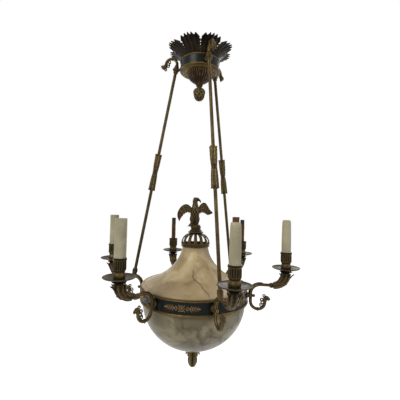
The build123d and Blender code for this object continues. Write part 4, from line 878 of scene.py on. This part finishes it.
def cup_flutes(turn, height):
    """Sixteen round-ended flutes down the cup's body."""
    body = np.clip((height - PAN_RIM - 13.5) / 2, 0, 1) * np.clip((PAN_RIM + 34.0 - height) / 1.6, 0, 1)
    return -1.7 * (0.5 + 0.5 * np.cos(16 * turn)) ** 0.8 * body


cup_line = np.vstack([
    [(TUBE_HOLE_R, -636.5), (11.4, -636.5)],
    curve([(12.6, -635.6), (13.5, -632.5), (13.2, -628.5), (11.8, -624.5), (11.4, -622)], 20),
    [(12.2, -621.2), (12.4, -620.4)],
    curve([(13.2, -619.4), (14.2, -616), (14.3, -608), (14.2, -598.4)], 30),
    [(14.0, -597.4), (15.2, -596.8), (15.4, -595.8), (14.6, -595.2), (14.9, -594.6), (14.9, -592.3)],
    [(14.6, -592), (13.4, -592), (13.4, -597), (11.1, -597), (11.1, -616), (TUBE_HOLE_R, -616)],
])
candle_cup = on_candle(lathe(cup_line, 128, cup_flutes))


def rough_tube(turn, height):
    """Small dents of an old card tube: three slow waves round and along it."""
    slanting = 0.16 * np.sin(3 * turn + 0.13 * height) + 0.12 * np.sin(5 * turn - 0.31 * height + 1.0)
    return slanting + 0.1 * np.sin(0.55 * height)


PLAIN_TUBE_TOP = -517.0
TALL_TUBE_TOP = -496.0


def tube_patch(top):
    """A plain tube from inside the horn to its top, darkened near it unless it is the tall one."""
    height = np.linspace(-644, top, 60)
    outside = np.column_stack([np.full(60, 7.05), height])
    points, quads, _ = on_candle(lathe(np.vstack([outside, [(5.6, top), (5.6, -644)]]), 48, rough_tube))
    burnt = 0.0 if top > PLAIN_TUBE_TOP else 1.0
    return points, quads, burnt * np.clip((points[:, 2] - top + 22) / 10, 0, 1)


tube_tops = [TALL_TUBE_TOP] + 5 * [PLAIN_TUBE_TOP]
tubes = [turned(tube_patch(top), angle) for top, angle in zip(tube_tops, ARM_ANGLES)]
piece("candle_tube_set", tubes, tube_brown, ["candle_tubes"])

straight_line = np.vstack([
    [(11.8, -597), (13.2, -597)],
    np.column_stack([np.full(24, 13.3), np.linspace(-596.5, -507.2, 24)]),
    [(13.1, -506.3), (12.7, -506), (12.0, -506.2), (11.8, -507)],
])
slim_line = straight_line.copy()
slim_line[2:26, 0] = np.interp(slim_line[2:26, 1], [-592, -591], [13.3, 12.4])
slim_line[26:, 0] -= 0.7
tapered_line = np.vstack([
    [(10.8, -597), (13.2, -597), (13.3, -596.4), (13.3, -592.2), (12.6, -591.8)],
    curve([(12.2, -590.5), (12.3, -575), (12.0, -545), (11.5, -520), (11.1, -512.5)], 26),
    curve([(10.9, -510.8), (10.3, -508), (9.0, -506.3), (7.85, -506)], 10),
    [(7.85, -508.5)],
])


def candle_sleeve(number, angle, line):
    """A candle sleeve, darker near its foot, where it meets the cup; the mark fades upwards."""
    patch = turned(on_candle(lathe(line, 72)), angle)
    foot = np.clip(1 - (patch[0][:, 2] + 592) / 10, 0, 1) * 0.55
    name = f"candle_sleeve_{number}"
    piece(f"{name}_shell", [(patch[0], patch[1], foot)], ivory, [name], body=name)


for number, line in ((1, tapered_line), (2, tapered_line), (5, slim_line), (6, straight_line)):
    candle_sleeve(number, ARM_ANGLES[number - 1], line)
for number, angle in enumerate(ARM_ANGLES, start=1):
    cast = arm_cast + [rod_socket] if angle in ROD_ANGLES else arm_cast
    piece(f"arm_scroll_{number}", all_turned(cast, [angle]), bronze, [f"arm_{number}"])
    piece(f"horn_acanthus_{number}", all_turned(horn_cast, [angle]), horn_bronze, [f"horn_{number}"])
    piece(f"drip_pan_dish_{number}", [turned(drip_pan, angle)], horn_bronze, [f"drip_pan_{number}"])
    piece(f"candle_cup_fluted_{number}", [turned(candle_cup, angle)], bronze_cup, [f"candle_cup_{number}"])


# Bowl ring


hoop = hoop_line(144, BAND_R, BAND_BOTTOM, BAND_TOP)
piece("bowl_hoop", [lathe(hoop, 192)], green_paint, ["bowl_band"])
top_rim_line = np.vstack([
    [(141, BAND_TOP), (147.4, BAND_TOP)],
    arc(147.2, -698, 1.9, -80, 80, 11),
    [(147.2, LID_SEAT), (141, LID_SEAT)],
])
piece("bowl_top_rim", [lathe(top_rim_line, 192)], gilt, ["band_top_rim"])
bottom_rim_line = np.vstack([
    [(136, BOWL_TOP), (146.9, BOWL_TOP)],
    arc(147, -731.5, 3.45, -84, 84, 17),
    [(146.9, BAND_BOTTOM), (136, BAND_BOTTOM)],
])
piece("bowl_bottom_rim", [lathe(bottom_rim_line, 192)], gilt, ["band_bottom_rim"])


def flat_leaf(start, way, length, width, lift=1.0):
    """A small leaf in a flat drawing: from a start along a direction, swelling and ending in a point."""
    angle = math.radians(way)
    step = np.linspace(0, 1, 14)
    path = np.column_stack([
        start[0] + length * step * math.cos(angle), start[1] + length * step * math.sin(angle), 0.5 + 0 * step
    ])
    swell = width * np.sin(math.pi * np.clip(0.12 + 0.86 * step, 0, 1))
    return sweep(path, swell, (-math.sin(angle), math.cos(angle), 0), np.full(14, lift), steps=10)


def bent_to_band(patch):
    """A flat drawing, X along the band, Y up and Z out of it, wrapped round the band's outside."""
    points, quads, relief = patch
    spot = points[:, 0] / BAND_R
    reach = BAND_R + np.maximum(points[:, 2], -0.3)
    wrapped = np.column_stack([reach * np.cos(spot), reach * np.sin(spot), points[:, 1] + BOLT_LEVEL])
    return wrapped, quads, relief + 0.5


def ornament():
    """A rosette of petals, a thin stalk to both sides, and on it pairs of leaves, scrolls and end buds."""
    flat = [wire_ring((0, 0, 0.6), 6.4, 0.8, (1, 0, 0), (0, 1, 0)), ball((0, 0, 0.4), 1.9, 10)]
    for spot in np.linspace(0, TURN, 8)[:-1]:
        flat.append(flat_leaf((2.2 * math.cos(spot), 2.2 * math.sin(spot)), math.degrees(spot), 3.6, 1.1))
    for way in (45, 135, 225, 315):
        spot = math.radians(way)
        flat.append(flat_leaf((7 * math.cos(spot), 7 * math.sin(spot)), way, 5.0, 1.2))
    for side in (0, 180):
        sign = math.cos(math.radians(side))
        flat.append(flat_leaf((sign * 7, 0), side, 36.0, 0.75))
        flat.append(flat_leaf((sign * 37, 0), side, 9.0, 1.9))
        flat.append(wire_ring((sign * 14.5, 0, 0.5), 3.4, 0.7, (1, 0, 0), (0, 1, 0), 20))
        flat.append(ball((sign * 14.5, 0, 0.4), 1.2, 8))
        for reach, size in ((10, 6.2), (19, 7.4), (24.5, 6.6), (30, 5.6), (35, 4.6)):
            for rise in (-1, 1):
                flat.append(flat_leaf((sign * reach, rise * 0.6), side + sign * rise * 52, size, 1.25))
                flat.append(ball((sign * (reach + 4.6), rise * (size - 0.2), 0.3), 0.85, 6))
    return [bent_to_band(patch) for patch in flat]


piece(
    "bowl_band_sprays", all_turned(ornament(), ORNAMENT_ANGLES), spray_gilt, ["band_ornaments"]
)


# Alabaster bowl and lid


def soft_spots(points, spots):
    """How strongly each point lies in soft round spots: x, height, half width, half height, strength."""
    front = points[:, 1] < 0
    total = np.zeros(len(points))
    for x, z, wide, high, strength in spots:
        away = ((points[:, 0] - x) / wide) ** 2 + ((points[:, 2] - z) / high) ** 2
        total += strength * np.exp(-away) * front
    return total


def near_line(points, line, wide):
    """How close each point of the front lies to a drawn line of x and height, with a slow wobble."""
    wobble = 0.9 * np.sin(0.35 * points[:, 2]) + 0.6 * np.sin(0.81 * points[:, 2] + 0.2 * points[:, 0])
    spot = np.column_stack([points[:, 0] + wobble, points[:, 2]])
    away = np.full(len(points), 1e9)
    for start, end in zip(line[:-1], line[1:]):
        start, run = np.array(start, float), np.subtract(end, start).astype(float)
        share = np.clip((spot - start) @ run / (run @ run), 0, 1)[:, None]
        away = np.minimum(away, np.linalg.norm(spot - start - share * run, axis=1))
    return np.exp(-((away / wide) ** 2)) * (points[:, 1] < 0)


LID_LIP = LID_SEAT + 7
lid_line = np.vstack([
    bezier((36, LID_TOP), (39, LID_TOP - 46), (83, LID_LIP + 19), (138.4, LID_LIP), 120),
    [(139.4, LID_LIP - 1.5), (140.4, LID_LIP - 1.5)],
    arc(143.4, LID_LIP - 3.2, 3.4, 130, -70, 14),
    [(144.6, LID_SEAT), (135, LID_SEAT)],
    bezier((29, LID_TOP), (32, LID_TOP - 49.5), (76, LID_SEAT + 19), (135, LID_SEAT), 40)[::-1][1:],
])
lid_patch = lathe(lid_line, 360)
lid_points = lid_patch[0]
lid_light = [(-4, -612, 16, 14, 0.8), (24, -655, 20, 20, 0.9), (-44, -662, 24, 12, 0.7)]
lid_light += [(2, -684, 50, 6, 0.5), (-20, -640, 10, 8, 0.4)]
lid_dark = [(-16, -650, 16, 12, 0.7), (40, -632, 12, 16, 0.6), (10, -674, 30, 7, 0.5)]
main_vein = [(-3, -643), (-5, -655), (1, -662), (14, -670), (26, -680), (36, -689)]
left_fork = [(1, -662), (-10, -667), (-26, -671)]
right_fork = [(-5, -655), (10, -642), (22, -634)]
lid_marks = {
    "patch": soft_spots(lid_points, lid_light),
    "shade": soft_spots(lid_points, lid_dark),
    "vein": 0.75 * near_line(lid_points, main_vein, 1.3)
    + 0.35 * near_line(lid_points, left_fork, 2.6)
    + 0.25 * near_line(lid_points, right_fork, 2.2),
}
piece(
    "lid_alabaster_ogee", [lid_patch], lid_stone, ["lid"], body="lid", marks=lid_marks
)


def bowl_line(reach, depth, count):
    """Quarter of an ellipse from the rim down to the flat round the hole, as radius and height."""
    turn = np.linspace(math.pi / 2, math.asin(BOWL_FLAT_R / reach), count)
    return np.column_stack([reach * np.sin(turn), BOWL_TOP - depth * np.cos(turn)])


outer_bowl = bowl_line(BOWL_R, BOWL_DEPTH, 110)
inner_bowl = bowl_line(BOWL_R - BOWL_WALL, BOWL_DEPTH - BOWL_WALL, 50)[::-1]
bowl_holes = [(BOWL_HOLE_R, outer_bowl[-1, 1]), (BOWL_HOLE_R, inner_bowl[0, 1])]
bowl_patch = lathe(np.vstack([outer_bowl, bowl_holes, inner_bowl]), 360)
bowl_points = bowl_patch[0]
bowl_light = [(-50, -790, 26, 22, 0.5), (30, -770, 30, 16, 0.5), (60, -800, 20, 20, 0.3)]
bowl_dark = [(-22, -772, 18, 12, 0.9), (-8, -790, 14, 12, 0.7), (-72, -762, 18, 16, 0.8)]
bowl_dark += [(20, -756, 22, 8, 0.6), (24, -812, 18, 8, 0.5)]
long_vein = [(-60, -748), (-30, -768), (-12, -792), (14, -806)]
short_vein = [(30, -748), (44, -776), (40, -800)]
bowl_marks = {
    "patch": soft_spots(bowl_points, bowl_light),
    "shade": soft_spots(bowl_points, bowl_dark),
    "vein": 0.3 * near_line(bowl_points, long_vein, 3.0) + 0.25 * near_line(bowl_points, short_vein, 2.4),
}
piece("bowl_alabaster_shell", [bowl_patch], bowl_stone, ["bowl"], marks=bowl_marks)


def bud_lobes(turn, height):
    """Six leaves folded round the bud: lobes that fade towards its tip, with a groove between them."""
    fade = np.clip((height + 922) / 12, 0, 1) * np.clip((FINIAL_TOP - 2 - height) / 5, 0, 1)
    return (0.8 * np.cos(6 * turn) - 1.1 * np.exp(-((np.sin(3 * turn) / 0.12) ** 2))) * fade


def finial_leaf():
    """A broad leaf of the finial: down the cup's outside, its tip curled out."""
    knots = [(14.2, -870), (15.4, -876), (16.2, -882), (17.6, -886.6), (18.4, -889.2), (17.6, -890.6)]
    path = curve(knots, 26)
    step = np.linspace(0, 1, 26)
    swell = np.interp(step, [0, 0.45, 0.8, 1], [5.6, 7.4, 6.0, 1.8]) * (1 + 0.1 * np.cos(step * 4 * TURN))
    return blade(in_radial_plane(path), swell, 1.3, ACROSS, ribs=0.7)


bud = [(14.6, -874), (14.8, -881), (14.0, -887), (11.6, -891.5), (11.7, -897), (12.8, -904), (12.4, -911)]
finial_line = np.vstack([
    [(0, -893.8), (BOWL_HOLE_R, -893.8), (BOWL_HOLE_R, FINIAL_TOP), (16.4, FINIAL_TOP)],
    [(17.0, -869.2), (16.6, -870.4), (15.2, -871.4)],
    curve(bud, 40),
    curve([(12.0, -913.4), (9.4, -920), (5.0, -924.2), (0, -925.5)], 22),
])
finial = [lathe(finial_line, 120, bud_lobes, loop=False)] + all_turned([finial_leaf()], range(0, 360, 60))
piece("bowl_bud_finial", finial, bronze, ["bowl_finial"])


# Gallery and eagle on the lid


GALLERY_RIBS = 14
gallery_ring = np.vstack([
    [(37.5, -587.5), (39.4, -587.5)],
    arc(39.2, -585.9, 0.9, -80, 80, 9),
    [(38.6, -584.7), (38.6, -582.6)],
    arc(38.9, -580.3, 1.8, -70, 80, 11),
    [(38.0, -578.3), (37.5, -578), (37.5, -583), (29, -583), (29, LID_TOP), (37.5, LID_TOP)],
])
gallery = [lathe(gallery_ring, 112)]
rib_line = arc(13.0, -578.5, 26.0, -4, 86, 30)
rib_width = np.interp(np.linspace(0, 1, 30), [0, 0.12, 0.5, 1], [6.8, 5.0, 4.5, 3.5])
rib_angles = 360 / GALLERY_RIBS * (np.arange(GALLERY_RIBS) + 0.5)
gallery += all_turned([sweep(in_radial_plane(rib_line), rib_width, ACROSS, 1.5)], rib_angles)
gallery_cap = np.vstack([
    [(4.1, -553), (12, -553), (17.2, -553.6), (18.4, -551.6), (16.8, -550.2)],
    arc(20.0, -547.9, 1.8, -80, 80, 9),
    [(18.4, -545.4), (17.4, -545.0), (4.1, -545)],
])
gallery.append(lathe(gallery_cap, 96))
piece("lid_pierced_gallery", gallery, bronze, ["gallery"], body="lid")


def wing(top, bottom, sweep_back, feathers):
    """A wing: from root to tip s and from its upper to its lower edge t, points between two drawn edges of x
    and height, swept back along s and hollowed; rows of feathers make ridges and scallop the lower edge."""
    count = 60
    s = np.linspace(0, 1, count)[:, None]
    t = np.linspace(0, 1, 48)[None, :]
    upper, lower = curve(top, count), curve(bottom, count)
    lower_edge = lower + (lower - upper) * (0.07 * np.abs(np.sin(feathers * math.pi * s)))
    place = upper[:, None] * (1 - t)[..., None] + lower_edge[:, None] * t[..., None]
    coverts = 0.7 * np.abs(np.sin(feathers * math.pi * s + 2.2 * t)) * np.clip(t * 3, 0, 1)
    rows = 0.8 * ((t * 3.2) % 1.0) + 0 * s
    relief = coverts + rows
    depth = 3.0 + sweep_back * s**1.3 + 3.0 * (t - 0.4) ** 2
    thick = 2.6 * (1 - 0.7 * s) * (1 - 0.5 * t) + 0.6
    front = np.stack([place[..., 0], depth - thick - 0.7 * relief, place[..., 1]], axis=-1)
    back = np.stack([place[..., 0], depth + thick + 0.7 * relief, place[..., 1]], axis=-1)
    return shell_patch(front, back, unit_relief(relief - 0.6))


def plumage(share, turn):
    """Small overlapping feathers: short ridges round and along, each row shifted by half."""
    return 0.055 * np.cos(10 * turn + math.pi * np.floor(share * 13)) * np.abs(np.sin(13 * math.pi * share))


def eagle_tube(knots, count, side=ACROSS, flat=1.0, ripple=None, steps=40):
    """A tube of the eagle through knots of x, depth, height and size."""
    line = curve(knots, count)
    return sweep(line[:, :3], line[:, 3], side, line[:, 3] * flat, steps=steps, ripple=ripple)


def eagle_patches():
    """Plinth, body, head with its hooked beak, two unlike wings, thighs, toes and tail."""
    plinth = [(0, -550), (4, -550), (4, -545), (17, -545), (17.4, -543.6), (17, -541.8), (14.8, -540.8)]
    plinth += [(13.6, -539.8), (13.4, -536.6), (14.8, -535.6), (14.6, PLINTH_TOP), (0, PLINTH_TOP)]
    patches = [lathe(plinth, 64, loop=False)]
    mound_side = curve([(13.3, -533), (12.6, -529.4), (9.4, -526.4), (4, -525.2), (0, -525)], 20)
    mound = np.vstack([[(0, -535), (13.2, -535)], mound_side])
    patches.append(lathe(mound, 64, lambda turn, height: 0.8 * np.cos(7 * turn + 0.9 * height), loop=False))
    body = [(-5, 2, -520, 5.0), (-5, 0.5, -511, 9.6), (-4, -1, -500, 12.4), (-3.4, -1.5, -488, 12.2)]
    body += [(-3.2, -1, -477, 9.6), (-3.4, -0.5, -468, 7.4), (-3.6, -0.5, -459, 6.9)]
    body += [(-2.6, -0.5, -452.5, 5.6), (-1.4, -0.5, -449.6, 2.0)]
    patches.append(eagle_tube(body, 90, ripple=plumage))
    head = [(-6, -0.5, -459, 4.2), (-2, -0.5, -456.2, 6.9), (3, -0.7, -455.4, 6.2), (6.6, -0.9, -456.4, 4.2)]
    head += [(9.6, -1, -458.4, 2.9), (11.6, -1, -461.6, 1.7), (11.8, -1, -464.8, 0.4)]
    patches.append(eagle_tube(head, 40, flat=0.92))
    patches += [ball((4.2, -0.7 + side * 5.0, -455.0), 1.1, 8) for side in (-1, 1)]
    left_top = [(-9, -484), (-17, -475), (-26, -469.4), (-36, -470.6)]
    left_top += [(-46, -479), (-53, -492), (-54, -505), (-49, -519)]
    left_low = [(-9, -496), (-18, -493), (-25, -491.5), (-31, -494)]
    left_low += [(-37, -499), (-42, -506), (-45.5, -512), (-48.6, -519.6)]
    right_top = [(3, -484), (8, -474), (14, -467), (21, -463.4)]
    right_top += [(28, -466), (34, -474.5), (40, -484), (48.5, -492)]
    right_low = [(3, -496), (9, -494.5), (14, -492), (19, -491)]
    right_low += [(25, -493), (31, -497), (37, -498), (48, -493.4)]
    patches.append(wing(left_top, left_low, 11.0, 7))
    patches.append(wing(right_top, right_low, 11.0, 7))
    for foot in (-10.0, 2.2):
        thigh = [(foot * 0.7 - 1.4, 0, -501, 7.0), (foot, -2.0, -509, 8.0), (foot + 0.2, -2.2, -517, 7.0)]
        thigh += [(foot, -1.6, -524, 5.0), (foot, -1.5, -531, 3.4)]
        patches.append(eagle_tube(thigh, 36, ripple=plumage, steps=28))
        for way in (-0.6, 0.0, 0.6):
            toe = [(foot, -1.5, -531.4, 2.0), (foot + 3.4 * math.sin(way), -5.0, -531.2, 1.8)]
            toe += [(foot + 6.0 * math.sin(way), -8.0, -532.4, 1.3)]
            toe += [(foot + 7.0 * math.sin(way), -9.6, -533.8, 0.4)]
            patches.append(eagle_tube(toe, 14, side=(math.cos(way), math.sin(way), 0), steps=12))
    tail_width = np.interp(np.linspace(0, 1, 20), [0, 0.7, 1], [2.4, 3.2, 0.8])
    for spread in (-2, -1, 0, 1, 2):
        tail = [(-6, 6, -508), (-8 + 1.6 * spread, 9, -518)]
        tail += [(-12 + 3.0 * spread, 11, -528), (-16 + 4.0 * spread, 12, -534.6)]
        patches.append(blade(curve(tail, 20), tail_width, 1.3, (1, 0, 0.3), ribs=0.4))
    return patches


piece("eagle_figure", eagle_patches(), eagle_bronze, ["eagle"], body="lid")


# Plain fittings keep their solids


def refinish(node, finish):
    """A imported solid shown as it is, in a better finish."""
    mesh = nodes[node].data
    mesh.materials.clear()
    mesh.materials.append(finish)


for node in ("hanger_eye", "swing_pin", "crown_stem", "hex_nuts", "bowl_spider", "bowl_rod"):
    refinish(node, steel)
refinish("bowl_washers", felt)


# Stage, lights and camera


def shows_white(tree):
    """One for camera, glossy and transmission rays, and nought for the light that falls on things."""
    path = tree.nodes.new("ShaderNodeLightPath")
    seen = math_node(tree, "MAXIMUM", path.outputs["Is Camera Ray"], path.outputs["Is Glossy Ray"])
    return math_node(tree, "MAXIMUM", seen, path.outputs["Is Transmission Ray"])


FLOOR_LEVEL = -1.45
FLOOR_HALF = 6.0
FLOOR_GLOW = 0.86  # keeps the floor white where no shadow lies
floor_mesh = bpy.data.meshes.new("studio_floor")
floor_signs = ((-1, -1), (1, -1), (1, 1), (-1, 1))
floor_corners = [(x * FLOOR_HALF, y * FLOOR_HALF, FLOOR_LEVEL) for x, y in floor_signs]
floor_mesh.from_pydata(floor_corners, [], [(0, 1, 2, 3)])
floor = bpy.data.objects.new("studio_floor", floor_mesh)
bpy.context.scene.collection.objects.link(floor)
floor_finish = bpy.data.materials.new("pale_floor")
floor_finish.use_nodes = True
floor_tree = floor_finish.node_tree
floor_tree.nodes.remove(floor_tree.nodes["Principled BSDF"])
matt = floor_tree.nodes.new("ShaderNodeBsdfDiffuse")
matt.inputs["Color"].default_value = (0.6, 0.6, 0.6, 1.0)
glow = floor_tree.nodes.new("ShaderNodeEmission")
floor_light = math_node(floor_tree, "MULTIPLY", shows_white(floor_tree), FLOOR_GLOW)
floor_tree.links.new(floor_light, glow.inputs["Strength"])
both = floor_tree.nodes.new("ShaderNodeAddShader")
floor_tree.links.new(matt.outputs[0], both.inputs[0])
floor_tree.links.new(glow.outputs[0], both.inputs[1])
floor_tree.links.new(both.outputs[0], floor_tree.nodes["Material Output"].inputs["Surface"])
floor_mesh.materials.append(floor_finish)

FILL_LIGHT = 0.34
world = bpy.data.worlds.new("studio")
world.use_nodes = True
sky = world.node_tree.nodes["Background"]
sky.inputs["Color"].default_value = (1.0, 1.0, 1.0, 1.0)
strength = ranged(world.node_tree, shows_white(world.node_tree), 0.0, 1.0, FILL_LIGHT, 1.0)
world.node_tree.links.new(strength, sky.inputs["Strength"])
bpy.context.scene.world = world


def stood(place, right, upward, back):
    """The matrix that puts an object at a place, its own axes along three directions."""
    rows = np.array([right, upward, back]).T
    return Matrix([[*row, spot] for row, spot in zip(rows, place)] + [[0, 0, 0, 1]])


def lamp(name, place, aim, size, power, tint=(1.0, 1.0, 1.0)):
    """A square soft lamp at a place, facing a point."""
    light = bpy.data.lights.new(name, "AREA")
    light.size = size
    light.energy = power
    light.color = tint
    made = bpy.data.objects.new(name, light)
    bpy.context.scene.collection.objects.link(made)
    away = np.subtract(place, aim)
    away = away / np.linalg.norm(away)
    right = np.cross(UP, away)
    right = right / np.linalg.norm(right)
    upward = np.cross(away, right)
    made.matrix_world = stood(place, right, upward, away)


lamp("key_light", (-1.3, -1.6, 0.75), (0, 0, -0.6), 1.1, 30, (1.0, 0.97, 0.91))
lamp("side_light", (1.7, -0.7, 0.1), (0, 0, -0.5), 0.8, 8)
lamp("back_light", (0.5, 1.8, 0.6), (0, 0, -0.5), 1.0, 10)

PITCH, YAW, ROLL = math.radians(1.65), math.radians(0.70), math.radians(1.44)
CAMERA_PLACE = (0.0, -0.814354, -0.479781)
forward = np.array([math.sin(YAW) * math.cos(PITCH), math.cos(YAW) * math.cos(PITCH), math.sin(PITCH)])
level_right = np.array([math.cos(YAW), -math.sin(YAW), 0.0])
level_up = np.cross(level_right, forward)
camera_right = math.cos(ROLL) * level_right + math.sin(ROLL) * level_up
camera_up = math.cos(ROLL) * level_up - math.sin(ROLL) * level_right
camera = bpy.data.objects.new("photo_camera", bpy.data.cameras.new("photo_camera"))
camera.data.sensor_width = 36.0
camera.data.lens = 25.66
bpy.context.scene.collection.objects.link(camera)
camera.matrix_world = stood(CAMERA_PLACE, camera_right, camera_up, -forward)
bpy.context.scene.camera = camera
bpy.context.scene.view_settings.view_transform = "Standard"

bpy.context.view_layer.update()
